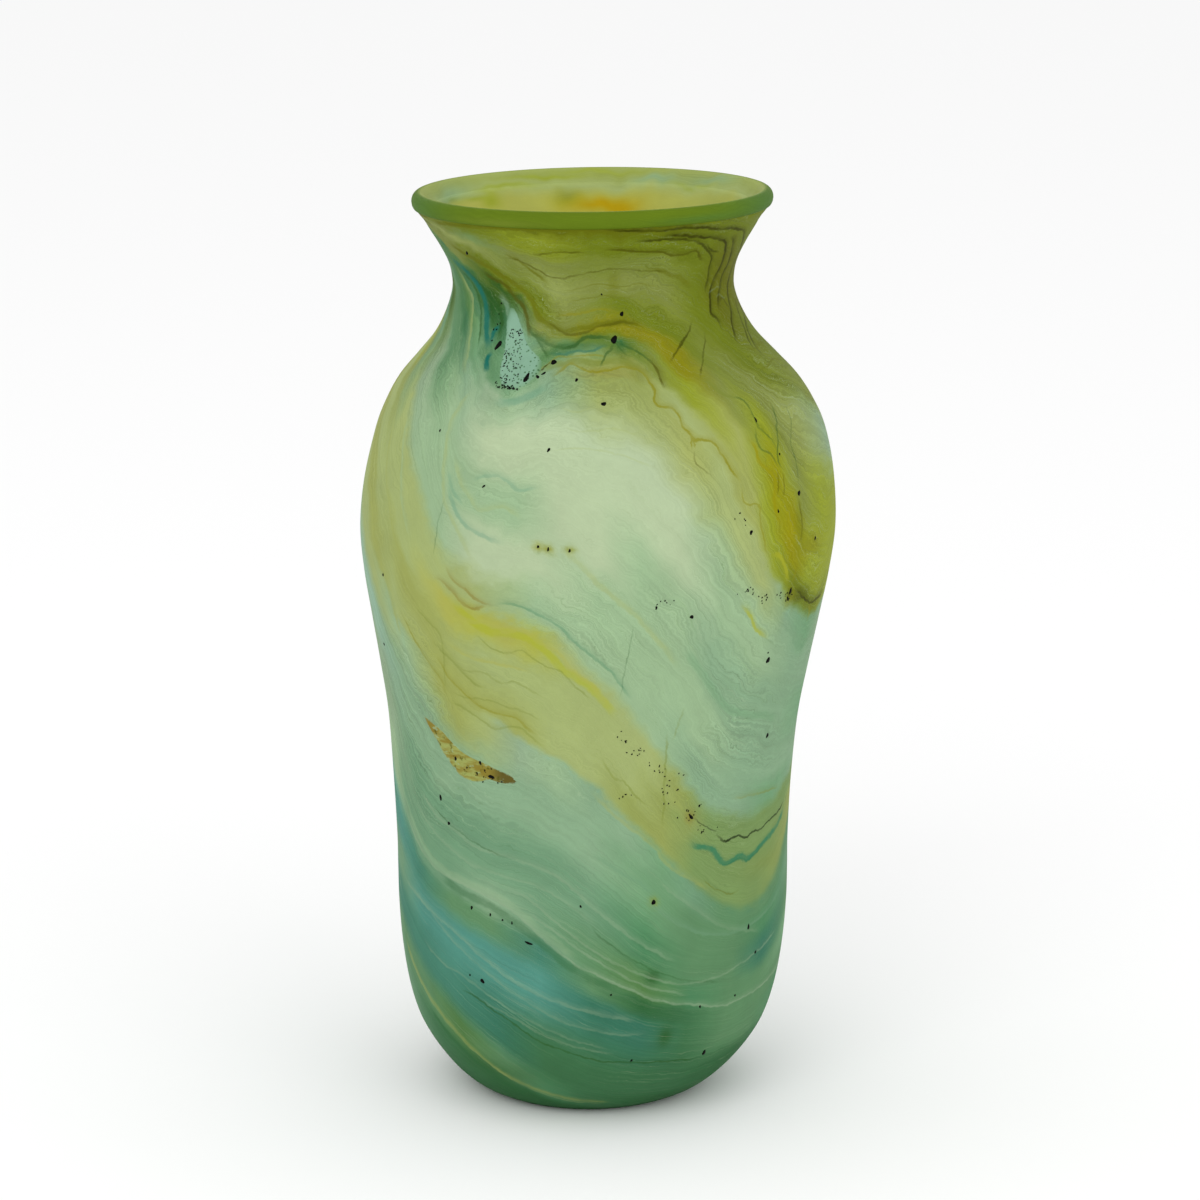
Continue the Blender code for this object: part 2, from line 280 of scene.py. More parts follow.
def flow(azimuth, height):
    """Where each point lies in the bands, as a level, and the glass colour there."""
    grid = np.arange(-180.0, 180.5, 1.0)
    heights = np.stack([round_curve([p[0] for p in band], [p[1] for p in band], grid) for band in BANDS])
    heights = np.maximum.accumulate(heights + 0.02 * np.arange(len(BANDS))[:, None], axis=0)
    tints = np.stack([band_colours(band, grid) for band in BANDS])
    column = np.clip(azimuth + 180.0, 0, 359.999)
    left = column.astype(int)
    share = column - left
    at = heights[:, left] * (1 - share) + heights[:, left + 1] * share
    below = np.clip((at <= height).sum(axis=0) - 1, 0, len(BANDS) - 2)
    own = np.arange(len(height))
    low, high = at[below, own], at[below + 1, own]
    part = np.clip((height - low) / np.maximum(high - low, 1e-3), 0.0, 1.0)
    tint_low = tints[below, left] * (1 - share[:, None]) + tints[below, left + 1] * share[:, None]
    tint_high = tints[below + 1, left] * (1 - share[:, None]) + tints[below + 1, left + 1] * share[:, None]
    turn = smoothstep(0.15, 0.85, part)[:, None]
    tint = tint_low * (1 - turn) + tint_high * turn
    return below + part, tint


# ---------------------------------------------------------------- trails laid on the bands

# Thin threads of glass: glass, half width in mm, strength, and the points that each
# follows as azimuth and height. All but the thinnest fade softly to the left of the way
# they run.
TRAILS = (
    # the seam under the lip wrap
    ("bronze", 0.8, 0.85, ((-66, 264), (-45, 264.5), (-25, 265), (-5, 265), (10, 264.5), (25, 264))),
    # the contour lines of the neck, which fold down at the right
    ("peat", 0.6, 0.9, (
        (3, 265), (23, 264), (34, 264), (50, 262), (60, 261), (67, 259), (72, 256), (76, 253), (75, 249),
        (72, 245), (70, 241), (69, 237), (64, 233.5), (60, 228),
    )),
    ("peat", 0.6, 0.98, (
        (23, 262.5), (33, 261.5), (44, 260), (50, 259), (54, 258), (58, 255), (60, 251), (57, 247),
        (55, 244), (54, 240.5), (52, 237), (55, 236), (56, 234), (55, 232.5),
    )),
    ("peat", 0.5, 0.84, (
        (13, 261), (24, 261), (33, 260.5), (40, 259), (45, 256.5), (50, 254), (52, 250), (52, 246.5),
        (51, 244), (52, 242.5),
    )),
    ("peat", 0.4, 0.72, ((44, 258), (48, 256), (54, 255))),
    ("peat", 0.55, 0.9, (
        (55, 259), (60, 258), (64, 254.5), (67, 250.5), (64, 247.5), (62, 244), (60, 240.5), (58, 237),
    )),
    ("umber", 0.5, 0.78, (
        (3, 259), (17, 258), (24, 257.5), (30, 256), (36, 256), (40, 256.5), (44, 254), (48, 253),
    )),
    ("bronze", 0.9, 0.6, ((18, 253), (27, 251.5), (32, 250), (38, 248), (42, 246), (45, 245))),
    ("peat", 0.5, 0.78, ((86, 242), (87, 238), (84, 234.5), (76, 230.5), (72, 226.5), (70, 223))),
    ("peat", 0.45, 0.72, ((80, 240), (77, 236.5), (74, 232), (70, 228), (68, 225))),
    ("umber", 0.4, 0.72, ((60, 240), (64, 241), (66, 239), (68, 237.5), (68, 236))),
    ("cream", 0.35, 0.25, ((53, 243), (55, 243.5), (60, 244), (63, 243.5))),
    ("cream", 0.3, 0.2, ((58, 241), (62, 242), (65, 240.5), (68, 241))),
    ("bronze", 0.45, 0.6, ((62, 226.5), (70, 226), (78, 226.5), (88, 225))),
    ("bronze", 0.4, 0.54, ((60, 221.5), (68, 221.5), (76, 222), (88, 220))),
    ("umber", 0.36, 0.6, (
        (-35, 256), (-26, 254.5), (-18, 251), (-12, 250), (-9, 250.5), (3, 252.5), (14, 252.5),
        (20, 252), (31, 251),
    )),
    ("umber", 0.45, 0.72, ((-21, 258.5), (-20, 257), (-11, 258), (-1, 258))),
    ("bronze", 0.6, 0.72, ((-34, 257), (-28, 255), (-22, 251), (-16, 247.5))),
    ("bronze", 0.3, 0.48, ((-14, 246.5), (-6, 247), (2, 248.5), (10, 247.5), (18, 248), (27, 247))),
    ("bronze", 0.3, 0.48, ((-12, 243), (-4, 244), (4, 245), (12, 244.5), (20, 245))),
    # the dark fold that runs down into the turquoise, and the olive above it
    ("bronze", 1.0, 0.75, (
        (-64, 258), (-54, 255), (-46, 253), (-40, 250.5), (-34, 248.5), (-28, 245.5), (-24, 242),
        (-22, 239), (-17, 236.5), (-12, 235.5), (-5, 236), (2, 237), (11, 237.5), (20, 236),
    )),
    ("umber", 0.8, 0.8, (
        (-49, 251), (-43, 248.5), (-37, 247), (-32, 243.5), (-28, 240), (-26, 236.5), (-24, 232),
    )),
    ("umber", 0.45, 0.6, ((-20, 238.5), (-12, 235), (-5, 234.5), (2, 236.5), (11, 237.5), (20, 236))),
    ("honey", 0.5, 0.6, ((-16, 239), (-6, 240), (0, 241), (6, 241), (11, 240))),
    # the teal wisps at the left of the neck
    ("pine", 0.6, 0.6, ((-46, 248), (-41, 246), (-36, 244), (-34, 242))),
    ("foam", 1.2, 0.35, ((-41, 244.5), (-38, 242.5), (-35.5, 239.5), (-34, 235.5))),
    ("pine", 0.9, 0.85, (
        (-64, 251), (-58, 249), (-52, 246), (-46, 243), (-40, 239.5), (-38, 236.5), (-38, 234),
        (-37, 231),
    )),
    ("petrol", 1.2, 0.9, (
        (-72, 252), (-62, 250), (-54, 246), (-50, 242.5), (-47, 238.5), (-45, 234), (-43, 231),
        (-41, 228),
    )),
    ("pine", 0.5, 0.7, ((-68, 250), (-58, 246.5), (-53, 242), (-50, 237.5), (-47.5, 232), (-46, 228))),
    ("lake", 1.8, 0.5, ((-32, 216.5), (-26, 216.5), (-20, 218.5), (-15, 222))),
    ("petrol", 1.1, 1.0, ((-39, 228.5), (-40, 226.5), (-38, 223))),
    ("petrol", 0.8, 0.9, ((-38, 235.5), (-41, 233.5), (-41, 230))),
    ("straw", 0.6, 0.5, (
        (-46, 221.5), (-51, 228), (-54, 233.5), (-56, 238), (-58, 242), (-64, 246), (-70, 251),
    )),
    # the teal thread, its knot, and the olive line that goes on from it
    ("pine", 0.6, 0.7, ((-26, 236), (-22, 233), (-18, 229.5), (-16, 227.5))),
    ("pine", 0.7, 0.75, (
        (-25, 235), (-18, 232), (-14, 231), (-9, 231), (-5, 233), (-1, 234), (4, 233.5), (8, 233),
    )),
    ("petrol", 0.6, 0.6, ((-18, 229.5), (-12, 229), (-7, 230), (-2, 230), (2, 231), (6, 232))),
    ("pine", 0.45, 0.65, ((7, 233), (10, 231.5), (14, 230), (17, 228.5), (20, 226))),
    ("umber", 0.5, 0.75, ((18, 228), (20, 225), (20, 223), (20, 220))),
    ("pine", 0.4, 0.6, ((1, 225.5), (3, 228.5), (5.5, 230.5), (7.5, 232.5))),
    ("pine", 0.3, 0.5, ((7.5, 232.5), (9.5, 230), (11.5, 228.5))),
    # ochre threads round the milky middle
    ("moss", 1.3, 0.75, (
        (-20, 224.5), (-13, 226.5), (-6, 227.5), (0, 227), (8, 227.5), (13, 226), (17, 223),
    )),
    ("honey", 0.5, 0.8, (
        (-15, 223), (-12, 225), (-9, 227), (-6, 226), (-1, 225), (4, 225), (8, 226), (12, 225.5),
        (15, 224), (17, 220), (16, 217), (18, 216), (21, 215.5), (22, 213), (22, 210), (24, 209),
        (24, 206.5), (26, 207), (30, 205.5), (31, 203), (33, 199), (36, 194),
    )),
    ("honey", 0.4, 0.5, ((-21, 223), (-17, 226), (-13, 228.5), (-8, 228.5), (0, 229), (6, 228))),
    ("moss", 0.6, 0.8, ((33, 221.5), (36, 221), (37, 219), (39, 217), (43, 216))),
    ("straw", 0.36, 0.4, ((-12, 216), (-6, 215), (0, 216), (8, 214), (15, 211))),
    ("straw", 0.36, 0.35, ((-10, 211), (-3, 210), (4, 211), (12, 208), (18, 206))),
    ("straw", 0.36, 0.3, ((-14, 205), (-5, 205.5), (5, 204), (14, 200))),
    ("peat", 0.4, 0.8, ((25, 226), (30, 229.5), (35, 232), (42, 237))),
    ("peat", 0.35, 0.65, ((33, 221.5), (41, 228.5), (46, 233.5))),
    ("umber", 0.3, 0.5, ((24, 204.5), (24, 200.5), (28, 197))),
    # green and amber contours on the right of the shoulder
    ("pine", 0.4, 0.55, ((40, 217), (45, 215), (45, 209), (46, 207), (48, 205), (49, 203), (50, 200.5))),
    ("pine", 0.4, 0.5, ((45, 208.5), (43, 205), (44, 202), (47, 200.5), (48, 198), (49, 196))),
    ("pine", 0.4, 0.6, ((55, 214), (54, 211), (52, 206.5), (50, 202), (49, 198.5), (50, 196), (51, 195))),
    ("pine", 0.36, 0.45, ((61, 213), (60, 208), (56, 203), (56, 196), (56, 189.5))),
    ("amber", 0.8, 0.8, (
        (40, 206.5), (42, 203), (42, 199.5), (45, 196), (47, 193), (46, 188), (47, 182), (50, 179),
    )),
    ("umber", 0.4, 0.55, ((48, 196), (48, 192), (47, 189))),
    ("umber", 0.4, 0.5, ((50, 195), (50, 191), (49, 188))),
    ("umber", 0.4, 0.55, ((55, 187), (56, 180), (56, 177), (55, 173.5))),
    ("honey", 0.4, 0.55, ((36, 194), (36, 189), (38, 188), (41, 187.5), (41, 183), (42, 177), (43, 172))),
    ("pollen", 0.9, 0.85, ((52, 162), (50, 167), (48, 171), (46, 172.5), (44, 172))),
    ("honey", 0.5, 0.65, ((54, 169), (54, 165), (53, 162))),
    ("peat", 0.8, 0.9, ((53, 157.5), (53, 160), (54, 160.5))),
    ("peat", 0.5, 0.9, ((54, 161), (58, 158), (64, 154), (71, 153.5), (77, 154.5))),
    ("honey", 0.5, 0.6, ((64, 154), (66, 151), (66, 148))),
    ("sulphur", 0.7, 0.75, ((36, 160), (40, 155), (42, 151), (48, 147))),
    # soft threads over the left of the shoulder
    ("straw", 0.8, 0.45, ((-40, 218.5), (-43, 210), (-42, 199.5), (-40, 189), (-35, 181), (-30, 173))),
    ("straw", 0.8, 0.4, ((-39, 201.5), (-36, 195), (-32, 190), (-29, 187.5), (-23, 189), (-18, 186))),
    ("lake", 0.7, 0.4, ((-40, 197), (-38, 192), (-34, 188))),
    ("lake", 0.8, 0.45, ((-40, 194), (-37, 188), (-33, 183), (-28, 180.5), (-22, 178.5))),
    ("lake", 0.6, 0.35, ((-33, 195), (-28, 197), (-24, 197), (-20, 194), (-14, 195))),
    ("hay", 0.8, 0.5, ((-75, 199), (-71, 188.5), (-68, 177.5), (-64, 167), (-60, 156), (-58, 144))),
    ("hay", 0.6, 0.4, ((-68, 206), (-66, 195.5), (-61, 185), (-56, 174.5), (-50, 167), (-46, 162))),
    ("celadon", 0.6, 0.4, ((-62, 210), (-59, 199.5), (-55, 186), (-50, 176))),
    ("straw", 0.9, 0.45, ((-8, 178), (-3, 172.5), (1, 167.5), (9, 159), (17, 148), (21, 142.5))),
    ("jade", 1.5, 0.45, (
        (22, 148), (27, 141), (32, 133.5), (37, 128), (44, 124.5), (52, 122.5), (60, 119.5),
    )),
    ("pine", 0.25, 0.45, ((-39.5, 190), (-41, 183), (-41.5, 177), (-42, 172))),
    ("pine", 0.25, 0.45, ((9, 157), (8, 149), (7, 142), (6.5, 133.5))),
    # threads in and beside the bright wavy band
    ("sulphur", 1.6, 0.7, (
        (-36, 161), (-34, 157.5), (-30, 154.5), (-26, 152.5), (-22, 153), (-18, 152), (-15, 151),
        (-11, 147), (-8, 143), (-4, 140), (0, 136.5), (3, 132), (6, 128.5),
    )),
    ("butter", 0.8, 0.5, (
        (-41, 162), (-38, 158), (-32, 155), (-26, 155.5), (-22, 153), (-18, 154.5), (-14, 151),
        (-9, 148), (-6, 143), (-1, 138.5), (4, 131),
    )),
    ("ochre", 0.6, 0.7, ((-42, 166), (-40, 166), (-36, 163), (-34, 160.5), (-30, 159), (-26, 161))),
    ("ochre", 0.5, 0.6, ((-38, 171), (-36, 166.5), (-32, 164), (-28, 161), (-24, 161))),
    ("teal", 0.5, 0.45, (
        (-25, 161), (-20, 161.5), (-16, 160), (-12, 158), (-8, 155), (-6, 152), (-3, 149), (0, 146),
        (4, 142), (7, 137), (10, 133.5),
    )),
    ("moss", 0.36, 0.5, (
        (-31, 152), (-26, 147.5), (-22, 146.5), (-18, 148), (-15, 145), (-12, 143.5), (-8, 142),
        (-5, 138), (0, 133),
    )),
    ("moss", 0.45, 0.4, ((-50, 157), (-46, 153), (-42, 150), (-41, 144.5), (-42, 136), (-42, 130.5))),
    ("moss", 0.36, 0.4, (
        (-40, 142.5), (-35, 139.5), (-29, 140), (-24, 137), (-20, 138), (-15, 135), (-12, 133),
    )),
    ("butter", 0.6, 0.5, ((-40, 148), (-36, 145), (-30, 143.5), (-24, 143), (-15, 141.5))),
    ("moss", 0.36, 0.4, ((-41, 132.5), (-36, 131), (-29, 131.5), (-24, 130.5), (-18, 129), (-13, 126.5))),
    ("honey", 0.45, 0.5, ((-56, 153), (-51, 144.5), (-46, 138.5), (-43, 134.5), (-42, 130))),
    ("honey", 0.5, 0.5, (
        (-44, 143), (-40, 136), (-34, 131), (-28, 128), (-21, 127), (-18, 124), (-14, 122),
    )),
    ("moss", 0.45, 0.45, (
        (-42, 129), (-37, 128), (-32, 125.5), (-27, 123), (-20, 124), (-16, 121), (-12, 118),
    )),
    ("moss", 0.5, 0.5, ((-45, 147), (-40, 143), (-36, 139), (-32, 136), (-28, 135))),
    # olive threads of the middle, and the dotted crack and teal squiggle at the right
    ("moss", 0.36, 0.5, ((2, 116.5), (6, 109), (8, 109), (11, 105), (14, 102), (16, 99))),
    ("moss", 0.4, 0.5, ((20, 93), (20, 101), (20, 112), (20, 123))),
    ("moss", 0.36, 0.4, ((24, 130), (22, 122.5), (21, 120))),
    ("soot", 0.3, 0.7, ((29, 96), (32, 93), (35, 91.5), (38, 90))),
    ("soot", 0.4, 0.9, (
        (37, 90), (40, 86.5), (43, 87), (46, 87), (50, 85.5), (52, 87), (57, 86.5), (60, 88), (67, 89),
        (74, 91.5),
    )),
    ("teal", 1.1, 0.85, (
        (28, 89), (30, 87), (36, 85), (38, 82.5), (41, 79.5), (45, 80.5), (48, 80.5), (50, 79), (54, 80),
        (58, 82), (63, 83.5), (69, 86), (74, 89.5),
    )),
    ("pine", 0.45, 0.55, ((38, 82), (41, 79), (45, 80), (48, 80), (50, 78.5), (54, 79.5), (60, 82))),
    ("khaki", 0.5, 0.5, ((42, 99), (49, 98.5), (56, 98), (67, 97))),
    ("bronze", 0.36, 0.45, ((32, 77), (37, 73), (43, 70), (48, 71))),
    ("hay", 0.6, 0.4, ((-1, 106), (5, 99.5), (10, 95), (16, 90), (22, 82), (29, 77), (36, 72))),
    ("sage", 0.6, 0.45, ((-1, 87.5), (8, 81), (14, 77), (18, 72))),
    # pale threads over the lower body
    ("cream", 0.59, 0.36, (
        (-58, 98), (-50, 92), (-43, 89.5), (-36, 86), (-30, 85), (-22, 84), (-15, 82), (-8, 78.5),
        (0, 71), (8, 64), (15, 58.5), (25, 52.5),
    )),
    ("pine", 0.35, 0.4, ((-52, 95), (-45, 91), (-38, 88), (-32, 86), (-24, 83.5))),
    ("cream", 0.52, 0.3, (
        (-62, 95), (-55, 89), (-47, 84.5), (-38, 80.5), (-28, 78.5), (-18, 77), (-8, 72.5), (1, 65),
    )),
    ("pine", 0.36, 0.4, ((-1, 65.5), (5, 59.5), (14, 53), (26, 47), (41, 43.5))),
    ("cream", 0.52, 0.24, ((18, 78), (29, 69), (40, 61), (58, 55))),
    ("sage", 0.6, 0.5, ((14, 74), (20, 68), (27, 63), (35, 59.5), (46, 58), (58, 59.5), (72, 65))),
    ("celadon", 1.5, 0.35, (
        (-78, 108), (-72, 98), (-66, 89.5), (-60, 83), (-52, 77.5), (-43, 75), (-30, 72.5), (-21, 68),
        (-12, 61), (-4, 55),
    )),
    ("cream", 0.5, 0.55, (
        (-74, 97), (-67, 87.5), (-60, 80.5), (-52, 76), (-43, 74), (-30, 71), (-21, 66.5), (-12, 59),
        (-4, 53), (8, 47), (20, 41), (34, 37.5), (43, 35.5), (54, 36), (74, 38), (84, 41),
    )),
    ("cream", 0.45, 0.36, (
        (-27, 75.5), (-18, 72), (-9, 65), (2, 56.5), (14, 50), (26, 45.5), (40, 45.5), (54, 48.5),
        (70, 52),
    )),
    ("cream", 0.45, 0.36, (
        (-20, 69), (-12, 64), (-5, 59), (3, 53.5), (11, 48.5), (20, 44.5), (30, 41.5),
    )),
    ("bottle", 1.6, 0.5, ((8, 45), (-4, 51), (-12, 57), (-21, 64), (-30, 68.5), (-40, 71), (-50, 74))),
    ("cream", 0.6, 0.3, (
        (-73, 68), (-62, 64.5), (-52, 61.5), (-42, 57.5), (-31, 51), (-22, 46), (-10, 41.5), (2, 38),
        (14, 35),
    )),
    ("cream", 0.5, 0.24, (
        (-66, 66.5), (-55, 62), (-46, 56), (-36, 50.5), (-28, 45.5), (-18, 40), (-8, 35), (0, 33),
        (8, 31), (18, 30.5),
    )),
    ("cream", 0.45, 0.24, (
        (-60, 52), (-50, 47.5), (-42, 45.5), (-34, 42), (-26, 38), (-16, 33.5), (-6, 29.5), (6, 26),
    )),
    ("pine", 0.4, 0.6, (
        (-43, 40), (-39, 40), (-28, 35), (-19, 30), (-10, 26), (3, 22.5), (16, 21), (39, 19),
    )),
    ("cream", 0.45, 0.24, ((-36, 39), (-28, 36.5), (-20, 33), (-12, 29.5), (-3, 26.5), (8, 24.5))),
    # the bright streak at the lower left, and the dark green under it
    ("hay", 0.9, 0.42, (
        (-76, 48), (-70, 42.5), (-62, 35.5), (-52, 28.5), (-43, 21.5), (-34, 15), (-20, 9.5), (-6, 6.5),
        (10, 5),
    )),
    ("straw", 0.45, 0.25, (
        (-74, 45), (-60, 33), (-51, 26.5), (-40, 18.5), (-27, 11), (-12, 6.5), (8, 4),
    )),
    ("bottle", 1.2, 0.6, ((6, 1.5), (-12, 3.5), (-28, 7), (-39, 13), (-50, 21), (-62, 30))),
    ("soot", 0.25, 0.9, (
        (-25, 222.5), (-23.5, 223), (-21.5, 223.5), (-19.5, 224.5), (-18, 225), (-16.5, 226.5),
        (-14.5, 227),
    )),
)

# Threads that follow the bands round the back: how many bands up, where each starts and
# ends, its glass, half width in mm and strength
BACK_THREADS = (
    (3.0, 80, 284, "cream", 0.5, 0.35), (5.2, 284, 90, "bottle", 1.4, 0.45),
    (5.8, 82, 286, "cream", 0.6, 0.5), (6.6, 76, 290, "cream", 0.5, 0.35),
    (8.0, 80, 280, "sage", 0.6, 0.4), (9.5, 96, 270, "honey", 0.4, 0.45),
    (10.5, 84, 286, "moss", 0.4, 0.45), (11.6, 84, 280, "sulphur", 1.3, 0.5),
    (12.4, 80, 280, "teal", 0.5, 0.45), (14.0, 90, 280, "jade", 0.8, 0.35),
    (16.5, 80, 270, "straw", 0.5, 0.4), (18.2, 76, 276, "peat", 0.5, 0.6),
    (19.3, 80, 282, "honey", 0.5, 0.6), (20.4, 84, 284, "umber", 0.4, 0.6),
    (21.5, 88, 290, "umber", 0.45, 0.65), (22.6, 90, 292, "umber", 0.45, 0.7),
    (23.6, 88, 294, "umber", 0.4, 0.6), (24.6, 80, 300, "bronze", 0.7, 0.8),
)

# Soft pools of colour under the skin: glass, azimuth, height, half width, half height, strength
POOLS = (
    ("bronze", 8, 248.5, 2.6, 4.0, 0.35),
    ("amber", 47, 196, 3.4, 9, 0.75),
    ("honey", 61, 172, 6, 3.4, 0.6),
    ("bronze", 55, 178, 2.4, 9, 0.35),
    ("fern", 17.5, 48.5, 3.4, 2.8, 0.7),
    ("pine", 17.5, 48.5, 2.2, 1.9, 0.65),
    ("pine", 23, 29, 2.4, 3.6, 0.65),
    ("pine", -34, 15, 16, 4, 0.35),
    ("fern", -42, 12, 12, 5, 0.4),
    ("olive", -12, 258.6, 9, 3, 0.4),
    ("pine", -3, 231.6, 7, 1.5, 0.35),
    ("bottle", 9.5, 231.3, 3, 1.8, 0.6),
    ("ochre", 3, 224.6, 14, 1.6, 0.3),
    ("foam", -30, 234, 5.0, 8, 0.6),
    ("foam", -24, 224, 4, 4, 0.6),
    ("ivy", -70, 243, 11, 9, 0.4),
    ("pearl", -47, 103, 5, 3, 0.2),
    ("khaki", 60, 76, 12, 4, 0.4),
    ("hay", 27, 92, 5, 5, 0.4),
    ("milk", 12, 205, 10, 12, 0.3),
    ("milk", -20, 212, 8, 5, 0.3),
    ("straw", -32, 148, 9, 5, 0.3),
    ("honey", -14, 178.6, 1.3, 1.1, 0.7),
    ("honey", -11.6, 178, 1.3, 1.1, 0.7),
    ("honey", -6.6, 177.8, 1.3, 1.1, 0.6),
    ("ochre", 28, 96, 1.6, 2.6, 0.6),
    ("honey", 17.5, 71.5, 1.4, 1.6, 0.5),
    ("honey", 53.5, 158, 3, 3, 0.6),
    ("peat", 58, 157.5, 4, 2, 0.4),
    ("lagoon", -42, 49, 14, 6, 0.4),
    ("lagoon", -20, 40, 12, 5, 0.3),
)

# Black seeds and burst bubbles: azimuth, height, half length and half width in mm, and
# how far the long way leans from upright to the right, in degrees
SEEDS = (
    (-53, 255.5, 0.9, 0.45, 60), (-37.2, 230.2, 1.5, 0.85, 25), (-22.8, 222.8, 1.35, 0.85, 30),
    (-14.5, 227, 1.1, 0.6, 80), (7.2, 233, 1.15, 1.0, 20), (3.5, 245.4, 0.35, 0.25, 0),
    (11.2, 239.8, 0.9, 0.5, 20), (1.5, 217, 0.75, 0.6, 80), (-6.5, 222.8, 0.5, 0.45, 0),
    (-39.6, 241.6, 0.35, 0.25, 30), (-17.4, 224.1, 0.7, 0.35, 60), (-19.2, 223.2, 0.7, 0.4, 100),
    (-46, 207, 0.5, 0.3, 0), (-29, 194, 0.6, 0.35, 60), (-13, 205, 0.75, 0.4, 20),
    (45.5, 210, 0.7, 0.4, 0), (50, 200, 0.4, 0.3, 0), (55.5, 188, 0.95, 0.7, 10),
    (47, 184.5, 0.6, 0.35, 0), (38, 180, 0.7, 0.65, 0), (62.5, 173.5, 0.7, 0.45, 0),
    (53.2, 160, 1.1, 0.6, 20), (52.6, 157.8, 0.9, 0.45, -30), (-14, 178.6, 0.55, 0.35, 0),
    (-11.6, 178, 0.6, 0.35, 0), (-6.6, 177.8, 0.6, 0.35, 0), (14, 161, 0.55, 0.4, 0),
    (23, 157.5, 0.7, 0.6, 0), (-63, 162.5, 0.6, 0.4, 0), (49.2, 140, 1.15, 0.8, 10),
    (48.6, 142.4, 0.35, 0.25, 0), (-71, 139.5, 0.6, 0.35, 0), (55.5, 115.5, 1.0, 0.6, 10),
    (-48, 98.2, 0.95, 0.6, 0), (-45, 91, 0.65, 0.55, 0), (28.5, 96, 1.1, 0.5, -30),
    (31, 99, 0.5, 0.35, 0), (17.5, 71.5, 1.0, 0.6, 10), (-3.3, 71, 0.45, 0.35, 0),
    (51.5, 58, 0.85, 0.6, 0), (56, 49, 0.6, 0.5, 0), (-37, 67, 0.6, 0.5, 0), (-30.5, 66, 0.5, 0.35, 0),
    (-26.5, 65, 0.4, 0.3, 0), (-23.5, 64.5, 0.5, 0.3, 0), (-18.4, 59, 1.3, 0.45, 100),
    (5.5, 44, 0.4, 0.3, 0), (-34, 45, 0.85, 0.75, 0), (-38.5, 46, 0.45, 0.3, 0), (13, 22, 0.45, 0.4, 0),
    (40, 20.5, 0.95, 0.8, 0), (34, 37, 0.5, 0.4, 0), (48, 37.5, 0.5, 0.35, 0),
    (13.6, 117.6, 0.3, 0.2, 0), (15.4, 113, 0.3, 0.2, 0), (19.6, 104.6, 0.35, 0.25, 0),
    (20, 101, 0.35, 0.2, 0), (16, 163, 0.3, 0.2, 0), (38, 163, 0.35, 0.25, 0), (48, 160, 0.35, 0.2, 0),
    (-41, 111.5, 0.85, 0.7, 30), (-37, 109.5, 0.5, 0.4, 0), (-33.6, 108.4, 0.5, 0.4, 0),
    (-32.4, 111.6, 0.9, 0.4, -30), (-31, 109.6, 0.5, 0.35, 0), (-29, 108, 1.3, 0.75, 105),
    (-31.8, 106, 0.35, 0.25, 0), (-27, 106.4, 0.3, 0.25, 0), (112, 196, 0.6, 0.4, 0),
    (134, 152, 0.8, 0.5, 20), (160, 208, 0.7, 0.6, 0), (-118, 120, 0.7, 0.5, 0),
    (-150, 172, 0.9, 0.6, 15), (-168, 86, 0.6, 0.5, 0), (176, 128, 0.8, 0.45, 30), (98, 74, 0.7, 0.5, 0),
    (-104, 228, 0.6, 0.4, 0), (142, 60, 0.6, 0.5, 0), (-132, 52, 0.8, 0.5, 0), (-160, 236, 0.5, 0.4, 0),
    (121, 232, 0.6, 0.5, 0),
)

# The shards' outlines on the skin, and their centres
AMBER_EDGE = (
    (-55, 124), (-51, 122.3), (-47, 120.5), (-43.5, 117.8), (-39.5, 115), (-35.5, 113.3), (-30.5, 112),
    (-25.5, 110.4), (-21.5, 109.4), (-19, 107.8), (-20, 106.3), (-24, 106), (-28.5, 106.6),
    (-32.5, 105.3), (-36.5, 105.2), (-40, 106.3), (-42.5, 108.4), (-45.3, 111.2), (-48.3, 114.5),
    (-51.3, 118.5),
)
AMBER_HUB = (-38, 110)
TEAL_EDGE = (
    (-37, 238), (-36, 242), (-33, 241.5), (-29, 237), (-26, 233), (-22.5, 230), (-17.5, 227),
    (-17.5, 223.5), (-21, 220), (-26, 218.5), (-31, 219.5), (-34, 223.5), (-35, 229), (-36, 234),
)
TEAL_HUB = (-28, 229)

# How many pits the turquoise shard has, and the least and greatest half width of a pit or
# dot, in mm
PITS = 130
PIT_SIZES = 0.12, 0.26

# Clouds of tiny dark dots: azimuth, height, spread of both, and how many
DOTS = (
    (18, 112, 3, 3, 9), (22, 105, 3, 4, 12), (28, 97, 3, 3, 10), (12, 117.5, 3, 1, 8), (33, 92, 3, 1, 6),
    (38, 163, 3, 2, 8), (44, 160, 3, 1.2, 8), (50, 159.5, 3, 1.5, 9), (16, 162, 2, 1.4, 6),
    (36, 184, 2, 2, 5), (7, 121, 3, 2, 6), (-30, 108, 6, 1.6, 10), (-40, 236, 1.6, 4, 6),
    (10, 104, 3, 1, 4),
)

# The threads' glasses, in the palette's order
THREADS = sorted({trail[0] for trail in TRAILS})

